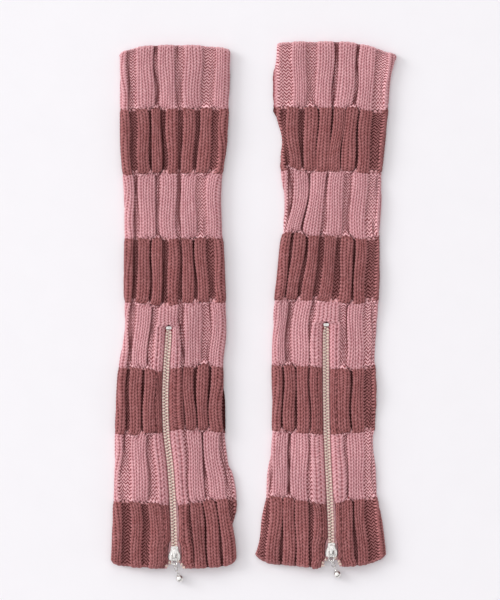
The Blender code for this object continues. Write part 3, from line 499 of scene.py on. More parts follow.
def rowSplay(warmer, down):
    # How far the middle of a tooth row lies from the middle of the zip
    length, sliderEnd = warmer["stripes"][-1], warmer["sliderDown"] + zipSizes["sliderLength"] / 2
    parted = smoothStep(warmer["sliderDown"] - 2, warmer["sliderDown"] + 4, down)
    splay = mix(zipSizes["toothRowOffset"], zipSizes["splayInSlider"], parted)
    below = max(down - sliderEnd, 0.0) / (length - sliderEnd)
    return splay + (zipSizes["splayAtHem"] - zipSizes["splayInSlider"]) * min(below, 1.0)


def rowMiddle(warmer, side, down):
    return zipAcross(warmer, down) + side * rowSplay(warmer, down)


def stopEnd(warmer):
    return warmer["slitTop"] + zipSizes["stopBelowSlit"] + zipSizes["stopLength"]


def chainEnd(warmer):
    # The rows of teeth run on with the hem's belly
    return warmer["stripes"][-1] + 0.9 + 0.6 * warmer["hemEnd"].belly


def zipLevel(warmer, down):
    start = sliderStart(warmer)
    rise = smoothStep(start - zipSizes["sliderRise"], start - zipSizes["sliderRiseEnds"], down)
    return mix(chainLevel, sliderChainLevel, rise)


def slitHalfWidth(warmer, down):
    # A small hole above the stop, then room for the stop, the chain and the slider
    below = down - warmer["slitTop"]
    if below <= 0:
        return 0.0
    start, halfRow = sliderStart(warmer), zipSizes["toothRowWidth"] / 2
    besideChain = zipSizes["toothRowOffset"] + halfRow + zipSizes["besideRow"]
    besideSlider = zipSizes["sliderHalfWidth"] + zipSizes["besideSlider"]
    atSlider = smoothStep(start - 6, start - 0.5, down)
    besideRows = rowSplay(warmer, down + 0.85 * warmer["hemEnd"].belly) + halfRow + zipSizes["besideSlider"]
    hole = 0.75 * smoothStep(-0.4, 0.9, below)
    wide = max(mix(besideChain, besideSlider, atSlider), besideRows)
    return mix(hole, wide, smoothStep(0.9, 1.5, below))


def tapeShown(warmer, down):
    # How far the slit's right edge stands back above the slider
    end = sliderStart(warmer)
    start, ease = end - zipSizes["showTapeFrom"], zipSizes["showTapeEase"]
    begun, ended = smoothStep(start, start + ease, down), smoothStep(end - ease, end, down)
    return zipSizes["showTape"] * begun * (1 - ended)


def lift(warmer, across, down):
    # The zip lies between the walls and raises the front one
    needed = zipLevel(warmer, down) + zipSizes["tapeThickness"] / 2 + zipSizes["clearance"] + 0.1
    needed -= wall["back"] + wall["gap"]
    tapeTop = warmer["slitTop"] - zipSizes["tapeAboveSlit"]
    tapeEdge = rowSplay(warmer, down) + tapeReach
    beyond = np.abs(across - zipAcross(warmer, down)) - tapeEdge
    begun = smoothStep(*(tapeTop - above for above in zipSizes["liftAbove"]), down)
    return needed * begun * (1 - smoothStep(*zipSizes["liftBeside"], beyond))


# The knitted tubes

def mauveShare(warmer, down):
    # How far the ribs' spacing has turned from the pink stripes' into the mauve ones'
    share = 0.0
    for number, edge in enumerate(warmer["stripes"][1:-1]):
        turned = smoothStep(edge - knit["spreadChange"], edge + knit["spreadChange"], down)
        share += turned if number % 2 == 0 else -turned
    return share


def fromSlit(warmer, stitch):
    # How many stitches away the slit's nearer edge is, round the tube
    return np.minimum(stitch - warmer["zipStitch"], warmer["zipStitch"] + knit["stitchesRound"] - stitch)


def mauveStitch(warmer, stitch):
    # The 2 by 2 ribs start half a stitch away from the 3 by 3 ones, except at the zip's edges
    return stitch + 0.5 * smoothStep(0.0, 3.0, fromSlit(warmer, stitch))


def evenSection(warmer, stitch, down, girth):
    # Where each stitch lies round the section. A knit rib keeps its width, the purl channels share the rest
    middle, half = zipAcross(warmer, down), slitHalfWidth(warmer, down)
    zipStitch, turn = warmer["zipStitch"], knit["stitchesRound"]
    places = [(s, rowAt(warmer, wale, down)) for s, wale in zip(warmer["stitches"], "abcdef")]
    knots = [(zipStitch, middle + half + tapeShown(warmer, down))]
    knots += [pair for pair in places if pair[0] > zipStitch]
    knots += [(s + turn, q + girth) for s, q in places if s < zipStitch]
    knots += [(zipStitch + turn, middle - half + girth)]
    numbers, distances = [k[0] for k in knots], [k[1] for k in knots]

    def ribbed(number, period, ribWidth):
        even = np.interp(number, numbers, distances)
        first = period * np.floor(number / period)
        start, end = np.interp(first, numbers, distances), np.interp(first + period, numbers, distances)
        rib = np.clip(ribWidth / (end - start), 0.5, 0.85)
        share = (number - first) / period
        inRib = (1 - rib) / 2 + (share - 0.25) * 2 * rib
        afterRib = 1 - (1 - share) * 2 * (1 - rib)
        moved = np.where(share < 0.25, share * 2 * (1 - rib), np.where(share < 0.75, inRib, afterRib))
        whole = (first >= numbers[0]) & (first + period <= numbers[-1])
        return np.where(whole, start + (end - start) * moved, even)

    pink = ribbed(stitch, knit["pinkPeriod"], knit["pinkRibWidth"])
    mauve = ribbed(mauveStitch(warmer, stitch), knit["mauvePeriod"], knit["mauveRibWidth"])
    return mix(pink, mauve, mauveShare(warmer, down))


def girthAt(warmer, down):
    # The flattened tube's measure round
    flat = rowAt(warmer, "right", down) - rowAt(warmer, "left", down) - 2 * foldInset
    return 2 * (flat + math.pi * foldRadius)


def findRibMoves(warmer):
    # How far each stripe's ribs lie from that even section, by stitch
    turn, zipStitch = knit["stitchesRound"], warmer["zipStitch"]
    ringed = np.linspace(zipStitch, zipStitch + turn, 6001)
    moves = []
    for index, (first, *places) in enumerate(warmer["ribEdges"]):
        down = (warmer["stripes"][index] + warmer["stripes"][index + 1]) / 2
        girth = girthAt(warmer, down)
        counted = mauveStitch(warmer, ringed) if index % 2 else ringed
        step = (knit["mauvePeriod"] if index % 2 else knit["pinkPeriod"]) / 2
        numbers = [first + step * k for k in range(len(places))]
        known = [(numbers[-1] + 4.0, 0.0), (first - 4.0 + turn, 0.0)]
        if down > warmer["slitTop"]:
            known.append((zipStitch, 0.0))
        for number, across in zip(numbers, places):
            if across is not None:
                number = warmer["besideSlit"] if number == zipStitch else number
                beyond = number < zipStitch
                stitch = np.interp(number + turn * beyond, counted, ringed)
                even = evenSection(warmer, np.array([stitch]), down, girth)[0]
                known.append((stitch, across + girth * beyond - even))
        moves.append(tuple(zip(*sorted((stitch % turn, move) for stitch, move in known))))
    return moves


def alongSection(warmer, stitch, down, girth):
    # The even section, with each stripe's ribs moved to their own places and each wale swaying a little
    along = evenSection(warmer, stitch, down, girth)
    turn, stripes = knit["stitchesRound"], warmer["stripes"]
    reach = knit["spreadChange"]
    free = smoothStep(0.5, 1.5, fromSlit(warmer, stitch)) if down > warmer["slitTop"] - 3 else 1.0
    for index, (stitches, moves) in enumerate(warmer["ribMoves"]):
        start, end = stripes[index:index + 2]
        begun = 1.0 if index == 0 else smoothStep(start - reach, start + reach, down)
        ended = 0.0 if index == 7 else smoothStep(end - reach, end + reach, down)
        if begun - ended > 0:
            bows = [knit["ribBow"] * math.sin(5.3 * number + 2.1 * index) for number in range(len(stitches))]
            bow = math.sin(2 * math.pi * min(max((down - start) / (end - start), 0.0), 1.0))
            bow = bow * np.interp(stitch, stitches, bows, period=turn)
            along = along + (begun - ended) * (np.interp(stitch, stitches, moves, period=turn) + bow * free)
    wale = np.round(stitch) % turn
    swing = np.sin(wale * 2.4 + down / (5.0 + wale % 3)) + np.sin(wale * 4.1 - down / 9.0)
    offWale = 0.5 - np.abs(stitch - np.round(stitch))
    return along + knit["wander"] * swing * free * smoothStep(0.0, 0.5, offWale)


def edgeShift(warmer, across, down):
    # The ends' rounded corners, slope and belly
    left, right = rowAt(warmer, "left", down), rowAt(warmer, "right", down)
    offset = np.clip((across - (left + right) / 2) / ((right - left) / 2), -1.0, 1.0)
    toLeft, toRight = np.maximum(-offset, 0), np.maximum(offset, 0)

    def bend(end):
        corners = end.leftCorner * toLeft ** end.power + end.rightCorner * toRight ** end.power
        return corners + end.rightSlope * toRight ** 2 - end.belly * (1 - offset ** 2)

    nearTop = max(1 - down / knit["edgeReach"], 0) ** 2
    nearHem = max(1 - (warmer["stripes"][-1] - down) / knit["edgeReach"], 0) ** 2
    return bend(warmer["topEnd"]) * nearTop - bend(warmer["hemEnd"]) * nearHem


def ribShape(warmer, stitch, down, isMauve):
    # How high each stitch stands, in millimetres and as a share of its rib, and which stitches are knit
    def ribs(number, period, softness):
        fromRib = period / 2 - np.abs((number + period / 2) % period - period / 2)
        return dome(fromRib / (period / 4 + softness), knit["ribPower"]), fromRib < period / 4

    mauvePeriod = knit["mauvePeriod"]
    pink, pinkKnit = ribs(stitch, knit["pinkPeriod"], 0.15)
    mauve, mauveKnit = ribs(mauveStitch(warmer, stitch), mauvePeriod, 0.12)
    zipStitch, turn = warmer["zipStitch"], knit["stitchesRound"]
    toRight, toLeft = stitch - zipStitch, zipStitch + turn - stitch
    if down > warmer["slitTop"]:
        # Flat panels beside the zip: the wide one hides the nearest channel, the narrow one is a rib's width
        wideIsRight = (zipStitch + 1) % mauvePeriod == 0
        wide, narrow = (toRight, toLeft) if wideIsRight else (toLeft, toRight)
        flat = np.maximum(1 - smoothStep(*knit["widePanel"], wide),
                          1 - smoothStep(*knit["narrowPanel"], narrow))
        mauve = mix(mauve, knit["panelHeight"], flat)
        mauveKnit = mauveKnit | (flat > 0.5)
    pair = [(pink, knit["pinkRibHeight"]), (mauve, knit["mauveRibHeight"])]
    (own, ownHeight), (other, otherHeight) = reversed(pair) if isMauve else pair
    toEdge = min(abs(down - edge) for edge in warmer["stripes"][1:-1])
    closing = 1 - smoothStep(0.0, knit["channelEnd"], toEdge)
    shared = np.maximum(own * ownHeight, other * otherHeight) * knit["endHeight"]
    height = mix(own * ownHeight, shared, closing ** 1.5)
    own = mix(own, (own + other) / 2, closing ** 1.5)
    knitMask = (mauveKnit if isMauve else pinkKnit).astype(float)
    return height, own, knitMask


def stitchRelief(stitch, row, knitMask):
    # The two legs of each knit stitch, or the zigzag of purl bumps
    wale = (stitch + 0.5) % 1.0
    fromEdge = 1 - np.abs(2 * wale - 1)
    leg = np.abs(np.sin(2 * np.pi * wale)) ** 0.8
    rise = 0.5 + 0.5 * np.cos(2 * np.pi * (row - 0.5 * fromEdge))
    legs = knit["legHeight"] * leg + knit["rowHeight"] * rise * (1 - 0.5 * leg)
    purlEdge = 1 - np.abs(2 * ((stitch + 0.5) * knitLook["purlCurves"] % 1.0) - 1)
    zigzag = 0.5 + 0.5 * np.cos(2 * np.pi * (row + knitLook["purlZigzag"] * purlEdge))
    return mix(knit["purlHeight"] * zigzag, legs, knitMask)


def ringOf(warmer, index, down, row, stitch):
    # One ring of points on the outer side, the plain inner side and what the material reads there
    isMauve = index % 2 == 1
    left = rowAt(warmer, "left", down) + foldInset
    right = rowAt(warmer, "right", down) - foldInset
    flat, turn = right - left, math.pi * foldRadius
    girth = 2 * (flat + turn)
    section = alongSection(warmer, stitch, down, girth)
    along = (section - left) % girth
    onFront, onRight, onBack = along < flat, along < flat + turn, along < 2 * flat + turn
    angle = np.select([onFront, onRight, onBack], [0.0, (along - flat) / foldRadius, np.pi],
                      np.pi + (along - 2 * flat - turn) / foldRadius)
    centre = np.select([onFront, onRight, onBack], [left + along, right, right - (along - flat - turn)], left)
    outward, upward = np.sin(angle), np.cos(angle)
    facing = np.clip(upward, 0.0, 1.0)
    standing = np.clip(1 + upward, 0.0, 1.0)

    rib, share, knitMask = ribShape(warmer, stitch, down, isMauve)
    spacing = np.gradient(section) / np.gradient(stitch)
    pinched = smoothStep(knit["wideChannel"], knit["tightChannel"], spacing) * (1 - share)
    relief = stitchRelief(stitch, row, knitMask)
    length = warmer["stripes"][-1]
    fromEnd = min(down, length - down)
    bead = 1 - smoothStep(0.4, knit["beadLength"], fromEnd)
    rib = mix(rib, np.maximum(rib * 0.6, 0.35), bead)
    chain = knit["beadHeight"] * (0.6 + 0.4 * np.abs(np.cos(np.pi * (stitch + 0.5))))
    relief = mix(relief, chain, bead)
    stands, taper = rib, 0.0
    if down > warmer["slitTop"]:
        beside = fromSlit(warmer, stitch)
        rolled = np.sqrt(np.clip(beside / knit["rolledEdge"], 0.0, 1.0))
        rib, relief = rib * mix(0.1, 1.0, rolled), relief * rolled
        thin = 1 - np.sqrt(np.clip(beside / knit["thinEdge"], 0.0, 1.0))
        taper = knit["edgeTaper"] * thin * facing
    floorDrop = knit["channelDepth"] * (1 - share) * facing * (1 - bead)

    across = centre + foldRadius * outward
    height = foldRadius * (1 + upward)
    fromRight = right + foldInset - across
    # Painted shade, kept in the knit's alpha: in the channels away from the right edge, in tight channels,
    # and on the back layer where it peeks out
    deepPaintedShade = knit["deepShade"] * (1 - share) * smoothStep(*knit["deepFrom"], fromRight)
    light, smooth = (1 - knit["pinchShade"] * pinched * facing) * (1 - deepPaintedShade * facing), 1.0
    for peek in warmer["peeks"]:
        shown = smoothStep(peek.start - 8, peek.start + 4, down)
        shown = shown * (1 - smoothStep(peek.end - 4, peek.end + 5, down))
        beyond = peek.side * across - (right if peek.side > 0 else -left)
        shown = shown * smoothStep(0.3, 0.0, upward) * smoothStep(-14, -2, beyond)
        across = across + peek.side * peek.amount * shown
        # Painted shade on the strip of back layer that shows beyond the front one
        strip = shown * smoothStep(-0.7, -0.2, upward)
        light, smooth = light * (1 - knit["peekShade"] * strip), smooth * (1 - knit["peekSmooth"] * strip)
    relief = relief * smooth
    fall = 0.0
    for crease in warmer["creases"]:
        lean = math.radians(crease.lean)
        down0, across0 = down - crease.down, across - crease.across
        lengthwise = (down0 * math.cos(lean) - across0 * math.sin(lean)) / crease.length
        sideways = (across0 * math.cos(lean) + down0 * math.sin(lean)) / crease.width
        fall = fall + crease.depth * np.exp(-lengthwise ** 2 - sideways ** 2)
    seam = 0.0   # the sewn line beside the zip, which pulls the knit down stitch by stitch
    if warmer["slitTop"] + 2 < down < length - 4:
        offset = across - zipAcross(warmer, down)
        seamAt = np.where(offset < 0, -zipSizes["seamLeft"], zipSizes["seamRight"])
        stitchWave = smoothStep(-0.35, 0.35, math.cos(2 * math.pi * down / zipSizes["seamStitch"]))
        groove = np.exp(-((offset - seamAt) / zipSizes["seamWidth"]) ** 2)
        seam = zipSizes["seamDepth"] * groove * stitchWave * facing
    side = knit["ribBulge"] * 4 * share * (1 - share) * standing
    ribSide = np.sign(np.gradient(-share))
    raised = lift(warmer, across, down) * facing
    out = (rib + relief - floorDrop - seam) * standing - fall * facing
    low = knit["floorGap"] + knit["floorRelief"] * relief
    outerAcross = across + out * outward + side * ribSide * upward
    outerHeight = np.maximum(height + out * upward + raised - taper, low)
    sag = knit["rowSag"] * (share - 0.5) * facing * smoothStep(0, 6, fromEnd)
    scallop = knit["scallop"] * (share - 0.8) * max(1 - fromEnd / knit["scallopReach"], 0) ** 2
    loops = knit["loopLength"] * (np.abs(np.sin(np.pi * (stitch + 0.5))) - 0.5) * bead
    for drift in warmer["drifts"]:
        beside, along = (outerAcross - drift.across) / drift.reach, (down - drift.down) / knit["driftReach"]
        sag = sag + drift.amount * np.exp(-beside ** 2) * math.exp(-along ** 2) * facing
    sag = sag + (scallop + loops) * (1 if down > length / 2 else -1) + edgeShift(warmer, outerAcross, down)
    behind = 1 - smoothStep(-0.3, 0.3, upward)
    rise = knit["backHemRise"] * max(1 - (length - down) / knit["edgeReach"], 0) ** 2

    def backRise(across):
        beside = (across - zipAcross(warmer, down)) / knit["backHemHalfWidth"]
        return rise * behind * np.exp(-beside ** 4)

    outer = place(warmer, outerAcross, down + sag - backRise(outerAcross), outerHeight)
    innerAcross = centre + innerFoldRadius * outward
    innerHeight = wall["back"] + innerFoldRadius * (1 + upward) + raised - 0.6 * fall * facing
    innerDown = down + edgeShift(warmer, innerAcross, down) - backRise(innerAcross)
    inner = place(warmer, innerAcross, innerDown, innerHeight)
    # depth carries the painted shade of the channels' floors, and the seam's groove takes that painted shade
    # too
    depth = np.clip((stands - seam) / knit["pinkRibHeight"], 0, 1)
    info = np.stack([knitMask, depth, bead + 0.0 * share, light + 0.0 * share], -1)
    return outer, inner, info


def stitchColumns(warmer):
    # Fine over the front and its folds, coarse underneath
    low, high = warmer["front"]
    zipStitch, turn = warmer["zipStitch"], knit["stitchesRound"]
    fine, coarse = knit["columnsAStitch"], knit["columnsAStitchBehind"]
    right = np.arange(zipStitch * fine, high * fine) / fine
    back = np.arange(high * coarse, (low + turn) * coarse) / coarse
    left = np.arange((low + turn) * fine, (zipStitch + turn) * fine + 1) / fine
    return np.concatenate([right, back, left])


def knitPiece(warmer, index):
    stripes, fine = warmer["stripes"], knit["samplesARow"]
    count = knit["rowsInStripe"] * fine
    downs = np.linspace(stripes[index], stripes[index + 1], count + 1)
    rows = index * knit["rowsInStripe"] + np.arange(count + 1) / fine
    stitch = stitchColumns(warmer)
    rings = [ringOf(warmer, index, down, row, stitch) for down, row in zip(downs, rows)]
    outer, inner, info = (np.array([ring[i] for ring in rings]) for i in range(3))
    columns = len(stitch)
    slitRow = sum(down <= warmer["slitTop"] + 0.01 for down in downs) - 1   # the last closed ring, or -1
    innerRows = sorted({*range(0, count + 1, knit["innerStep"]), count, *({slitRow} if slitRow > 0 else ())})

    # Vertex numbers in grids. Above the slit a ring closes on its first point
    outerAt = np.arange((count + 1) * columns).reshape(count + 1, columns)
    innerAt = outerAt.size + np.arange(len(innerRows) * columns).reshape(len(innerRows), columns)
    points = [outer.reshape(-1, 3), inner[innerRows].reshape(-1, 3)]
    infos = [info.reshape(-1, 4), info[innerRows].reshape(-1, 4)]
    outerAt[:slitRow + 1, -1] = outerAt[:slitRow + 1, 0]
    for i, row in enumerate(innerRows):
        if row <= slitRow:
            innerAt[i, -1] = innerAt[i, 0]
    where = np.stack(np.broadcast_arrays(stitch[None, :] + 0.5, rows[:, None]), -1)
    innerWhere = where[innerRows]

    faces, corners = [], []

    def addStrip(first, second, firstWhere, secondWhere):
        # Quads between two rows of points, facing away from the tube's inside
        faces.append(np.stack([first[:-1], second[:-1], second[1:], first[1:]], -1))
        corners.append(np.stack([firstWhere[:-1], secondWhere[:-1], secondWhere[1:], firstWhere[1:]], 1))

    for i in range(count):
        addStrip(outerAt[i], outerAt[i + 1], where[i], where[i + 1])
    for i in range(len(innerRows) - 1):
        addStrip(innerAt[i + 1], innerAt[i], innerWhere[i + 1], innerWhere[i])
    for end, outerRow, innerRow in (("top", 0, 0), ("hem", count, len(innerRows) - 1)):
        # The rim, with a rounded lip at the tube's own two ends
        first, second = innerAt[innerRow], outerAt[outerRow]
        if end == "hem":
            first, second = second, first
        whereRow = where[outerRow]
        isEnd = (end == "top" and index == 0) or (end == "hem" and index == len(stripes) - 2)
        if not isEnd:
            addStrip(first, second, whereRow, whereRow)
            continue
        lip = mix(outer[outerRow], inner[innerRows[innerRow]], knit["lipShare"])
        lip[:, 1] += (1 if end == "top" else -1) * knit["lipLength"] * mm
        lipAt = sum(len(p) for p in points) + np.arange(columns)
        if outerRow <= slitRow:
            lipAt[-1] = lipAt[0]
        points.append(lip)
        infos.append(info[outerRow])
        addStrip(first, lipAt, whereRow, whereRow)
        addStrip(lipAt, second, whereRow, whereRow)

    triangles, triangleCorners = [], []
    for column, turned in ((0, False), (columns - 1, True)):
        # The two cut edges of the slit
        for i in range(len(innerRows) - 1):
            upper, lower = innerRows[i], innerRows[i + 1]
            if upper < slitRow:
                continue
            inside = [(innerAt[k, column], innerWhere[k, column]) for k in (i, i + 1)]
            outside = [(outerAt[r, column], where[r, column]) for r in range(upper, lower + 1)]
            fan = [(inside[0], after, before) for before, after in zip(outside, outside[1:])]
            for triangle in [*fan, (*inside, outside[-1])]:
                triangle = triangle[::-1] if turned else triangle
                triangles.append([corner[0] for corner in triangle])
                triangleCorners += [corner[1] for corner in triangle]

    quads, quadCorners = np.concatenate(faces), np.concatenate(corners)
    yarn, material = ("mauve", mauveYarn) if index % 2 else ("pink", pinkYarn)
    mesh = bpy.data.meshes.new(f"{warmer['name']}_stripe_{index + 1}_{yarn}")
    mesh.from_pydata(np.concatenate(points).tolist(), [], quads.tolist() + triangles)
    layer = mesh.uv_layers.new(name="stitches")
    uv = np.concatenate([quadCorners.reshape(-1, 2), np.array(triangleCorners or np.zeros((0, 2)))])
    layer.uv.foreach_set("vector", uv.astype(np.float32).ravel())
    colours = mesh.color_attributes.new("knitInfo", "FLOAT_COLOR", "POINT")
    colours.data.foreach_set("color", np.concatenate(infos).astype(np.float32).ravel())
    mesh.shade_smooth()
    # Points that no face uses are the closed rings' spare last ones
    shape = bmesh.new()
    shape.from_mesh(mesh)
    spare = [v for v in shape.verts if not v.link_faces]
    bmesh.ops.delete(shape, geom=spare, context="VERTS")
    shape.to_mesh(mesh)
    shape.free()
    piece = addPiece(mesh, material, "warmers", f"{warmer['name']}_tube")
    start, end = stripes[index:index + 2]
    girthAt(warmer, (start + end) / 2) * mm


def findShift():
    # The frame's own origin, found from a node whose place is known
    low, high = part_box("left_zip_stop")
    down = leftWarmer["slitTop"] + zipSizes["stopBelowSlit"] + zipSizes["stopLength"] / 2
    planned = Vector((leftWarmer["axisX"] + zipAcross(leftWarmer, down), leftWarmer["topY"] - down, 0)) * mm
    centre = (low + high) / 2
    return np.array([centre.x - planned.x, centre.y - planned.y, 0.0])


frameShift = findShift()
for warmer in (leftWarmer, rightWarmer):
    warmer["ribMoves"] = findRibMoves(warmer)
    for index in range(8):
        knitPiece(warmer, index)
    print("knitted the", warmer["name"], "tube")


# The zips. Shapes are lists of points and faces, in millimetres

def softened(outline, times):
    # A closed outline with its corners cut again and again
    for _ in range(times):
        following = outline[1:] + outline[:1]
        outline = [tuple(mix(np.array(p), np.array(q), share))
                   for p, q in zip(outline, following) for share in (0.25, 0.75)]
    return outline


def tangents(points):
    # From each point's neighbour before it to the one after it, round a closed path
    along = np.roll(points, -1, 0) - np.roll(points, 1, 0)
    return along / np.linalg.norm(along, axis=1)[:, None]


def insetOutline(outline, amount):
    # Moves each point of a counter-clockwise outline inwards
    points = np.array(outline, float)
    along = tangents(points)
    return points + np.stack([-along[:, 1], along[:, 0]], -1) * amount


def ringFaces(rings, count, start=0, closed=False):
    # Quads between neighbouring rings of points, and from the last ring to the first if closed
    faces = []
    for ring in range(rings if closed else rings - 1):
        low, high = start + ring * count, start + (ring + 1) % rings * count
        faces += [(low + i, low + (i + 1) % count, high + (i + 1) % count, high + i) for i in range(count)]
    return faces


def bevelledPrism(outline, low, high, bevel, steps=2, upright=False):
    # A plate with rounded edges. An upright one stands in the plane of the zip's length and height
    levels = []
    for k in range(steps + 1):
        angle = math.pi / 2 * k / steps
        levels.append((bevel * (1 - math.sin(angle)), low + bevel * (1 - math.cos(angle))))
    levels += [(amount, low + high - level) for amount, level in reversed(levels)]
    count = len(outline)
    points = np.concatenate([np.column_stack([insetOutline(outline, amount), np.full(count, level)])
                             for amount, level in levels])
    if upright:
        points = points[:, [2, 0, 1]]
    ends = [tuple(range(count - 1, -1, -1)), tuple(range(len(points) - count, len(points)))]
    return points, ends + ringFaces(len(levels), count)


def wireLoop(path, normal, radius, sides=10):
    # A closed round wire along a path that lies in one plane
    points, normal = np.array(path, float), np.array(normal, float)
    outward = np.cross(tangents(points), normal)
    angles = (2 * np.pi * np.arange(sides) / sides)[None, :, None]
    ring = points[:, None] + radius * (np.cos(angles) * outward[:, None] + np.sin(angles) * normal)
    return ring.reshape(-1, 3), ringFaces(len(points), sides, closed=True)


def ball(centre, radius, around, levels):
    points = [(0, 0, -radius)]
    for level in range(1, levels):
        angle = -math.pi / 2 + math.pi * level / levels
        wide, high = radius * math.cos(angle), radius * math.sin(angle)
        points += [(wide * math.cos(turn), wide * math.sin(turn), high)
                   for turn in (2 * math.pi * k / around for k in range(around))]
    points.append((0, 0, radius))
    top = 1 + (levels - 2) * around
    faces = [(0, 1 + (k + 1) % around, 1 + k) for k in range(around)]
    faces += ringFaces(levels - 1, around, 1)
    faces += [(top + k, top + (k + 1) % around, len(points) - 1) for k in range(around)]
    return np.array(points) + np.array(centre), faces


def together(shapes):
    points, faces, start = [], [], 0
    for shapePoints, shapeFaces in shapes:
        points.append(shapePoints)
        faces += [tuple(start + corner for corner in face) for face in shapeFaces]
        start += len(shapePoints)
    return np.concatenate(points), faces


def zipPiece(warmer, name, node, shape, material, body="warmers", sharp=40.0):
    points, faces = shape
    mesh = bpy.data.meshes.new(f"{warmer['name']}_{name}")
    mesh.from_pydata(points.tolist(), [], faces)
    mesh.shade_smooth()
    mesh.set_sharp_from_angle(angle=math.radians(sharp))
    addPiece(mesh, material, body, f"{warmer['name']}_{node}")


toothPlan = (
    (1.1, -0.65), (1.1, 0.65), (0.8, 0.92), (0.3, 0.92), (-0.05, 0.6), (-0.95, 0.56), (-1.45, 0.46),
    (-1.6, 0.2), (-1.6, -0.2), (-1.45, -0.46), (-0.95, -0.56), (-0.05, -0.6), (0.3, -0.92), (0.8, -0.92),
)


def addTeeth(warmer, side, sideName):
    # Stamped teeth clamped on the tape's cord, each with a head that reaches between two of the other row
    pitch = zipSizes["pitch"]
    tooth, faces = bevelledPrism(softened(list(toothPlan), 1), -halfTooth, halfTooth, zipSizes["toothBevel"])
    head = smoothStep(0.2, -0.6, tooth[:, 0])
    tooth[:, 2] -= zipSizes["headTaper"] * head * np.sign(tooth[:, 2])
    x, y = tooth[:, 0] * side, tooth[:, 1]
    shapes = []
    down = stopEnd(warmer) + zipSizes["firstTooth"] + (pitch / 2 if side > 0 else 0.0)
    while down < chainEnd(warmer):
        before, here, after = (rowMiddle(warmer, side, down + step) for step in (-1, 0, 1))
        lean = math.atan2(after - before, 2.0)
        across = here + x * math.cos(lean) - y * math.sin(lean)
        up = y * math.cos(lean) + x * math.sin(lean)
        points = place(warmer, across, down - up, zipLevel(warmer, down) + tooth[:, 2])
        shapes.append((points, faces if side > 0 else [face[::-1] for face in faces]))
        down += pitch
    zipPiece(warmer, f"teeth_{sideName}", f"zip_teeth_{sideName}", together(shapes), platedBrass)


def addTape(warmer, side, sideName):
    # A woven strip with a round cord along the edge that the teeth hold
    downs = np.linspace(warmer["slitTop"] - zipSizes["tapeAboveSlit"], chainEnd(warmer) + 0.2, 160)
    cord, half = zipSizes["cordRadius"], zipSizes["tapeThickness"] / 2 - 0.05
    upper = [(tapeReach, half), (tapeReach * 0.5, half), (cord + 0.3, half)]
    section = upper + [(cord * math.cos(a), cord * math.sin(a)) for a in np.radians(np.arange(40, 321, 40))]
    section = np.array(section + [(x, -y) for x, y in reversed(upper)])
    rings = [place(warmer, rowMiddle(warmer, side, down) + side * section[:, 0], down,
                   zipLevel(warmer, down) + section[:, 1]) for down in downs]
    count = len(section)
    last = (len(downs) - 1) * count
    faces = [(face[0], *face[:0:-1]) for face in ringFaces(len(downs), count)]
    faces += [tuple(range(count)), tuple(range(last + count - 1, last - 1, -1))]
    if side < 0:
        faces = [face[::-1] for face in faces]
    zipPiece(warmer, f"tape_{sideName}", f"zip_tape_{sideName}", (np.concatenate(rings), faces), tapeCloth,
             sharp=60.0)


def addStop(warmer):
    # A folded metal block squeezed over both tapes
    halfWidth, halfLength = zipSizes["stopWidth"] / 2, zipSizes["stopLength"] / 2
    height, radius = zipSizes["stopThickness"] / 2, zipSizes["stopCorner"]
    corners = []
    for turn, (x, y) in enumerate(((1, -1), (1, 1), (-1, 1), (-1, -1))):
        middle = x * halfWidth - radius * x, y * halfLength - radius * y
        for angle in (math.radians(90 * turn - 90 + 22.5 * k) for k in range(5)):
            corners.append((middle[0] + radius * math.cos(angle), middle[1] + radius * math.sin(angle)))
    points, faces = bevelledPrism(corners, -height, height, zipSizes["stopBevel"], 3)
    down = warmer["slitTop"] + zipSizes["stopBelowSlit"] + halfLength
    level = zipLevel(warmer, down) + zipSizes["stopProud"]
    placed = place(warmer, zipAcross(warmer, down) + points[:, 0], down - points[:, 1], level + points[:, 2])
    zipPiece(warmer, "stop_block", "zip_stop", (placed, faces), platedZinc)


slider = {
    # Half outlines, from the end towards the closed zip to the end towards the hem
    "side": ((2.3, 5.75), (2.95, 5.1), (3.0, 3.0), (3.5, 1.3), (4.55, -0.9), (4.6, -3.0), (4.4, -4.6),
             (3.3, -5.75)),
    "wedge": ((0.0, 0.6), (-0.75, -1.6), (-0.85, -4.9), (0.85, -4.9), (0.75, -1.6)),
    "lip": ((3.9, 1.0), (4.5, -2.8), (4.5, -4.6), (3.8, -4.6), (3.8, -2.8), (3.25, 0.8)),
    "overlap": 0.3,           # how far each part of the casting runs into the next
    "rimInset": 0.5, "rimWire": 0.42,
    "bridgeWidth": 2.7, "bridgeHalf": 3.9, "bridgeLeg": 1.3, "bridgeWire": 1.0,
    # The bridge's outer corner: how far in from its end and down from its top each point lies
    "bridgeCorner": ((0.0, 0.9), (0.3, 0.35), (1.0, 0.0)),
    "pullWire": 0.5, "pullClearance": 0.35,
    "ringHalf": 2.0, "ringLength": 8.7, "ringCorner": 0.7,
    "linkHalf": 2.0, "linkWidth": 1.15, "linkWire": 0.35, "linkPlay": 0.1, "links": 3,
    "eyeRadius": 0.95, "eyeWire": 0.3, "eyeInDrop": 0.5, "dropRadius": 3.0, "dropAboveFloor": 0.25,
}
pullLevel = sliderTopPlate + zipSizes["plate"] + slider["pullClearance"] + slider["pullWire"]
bridgeUnder = pullLevel + slider["pullWire"] + slider["pullClearance"]


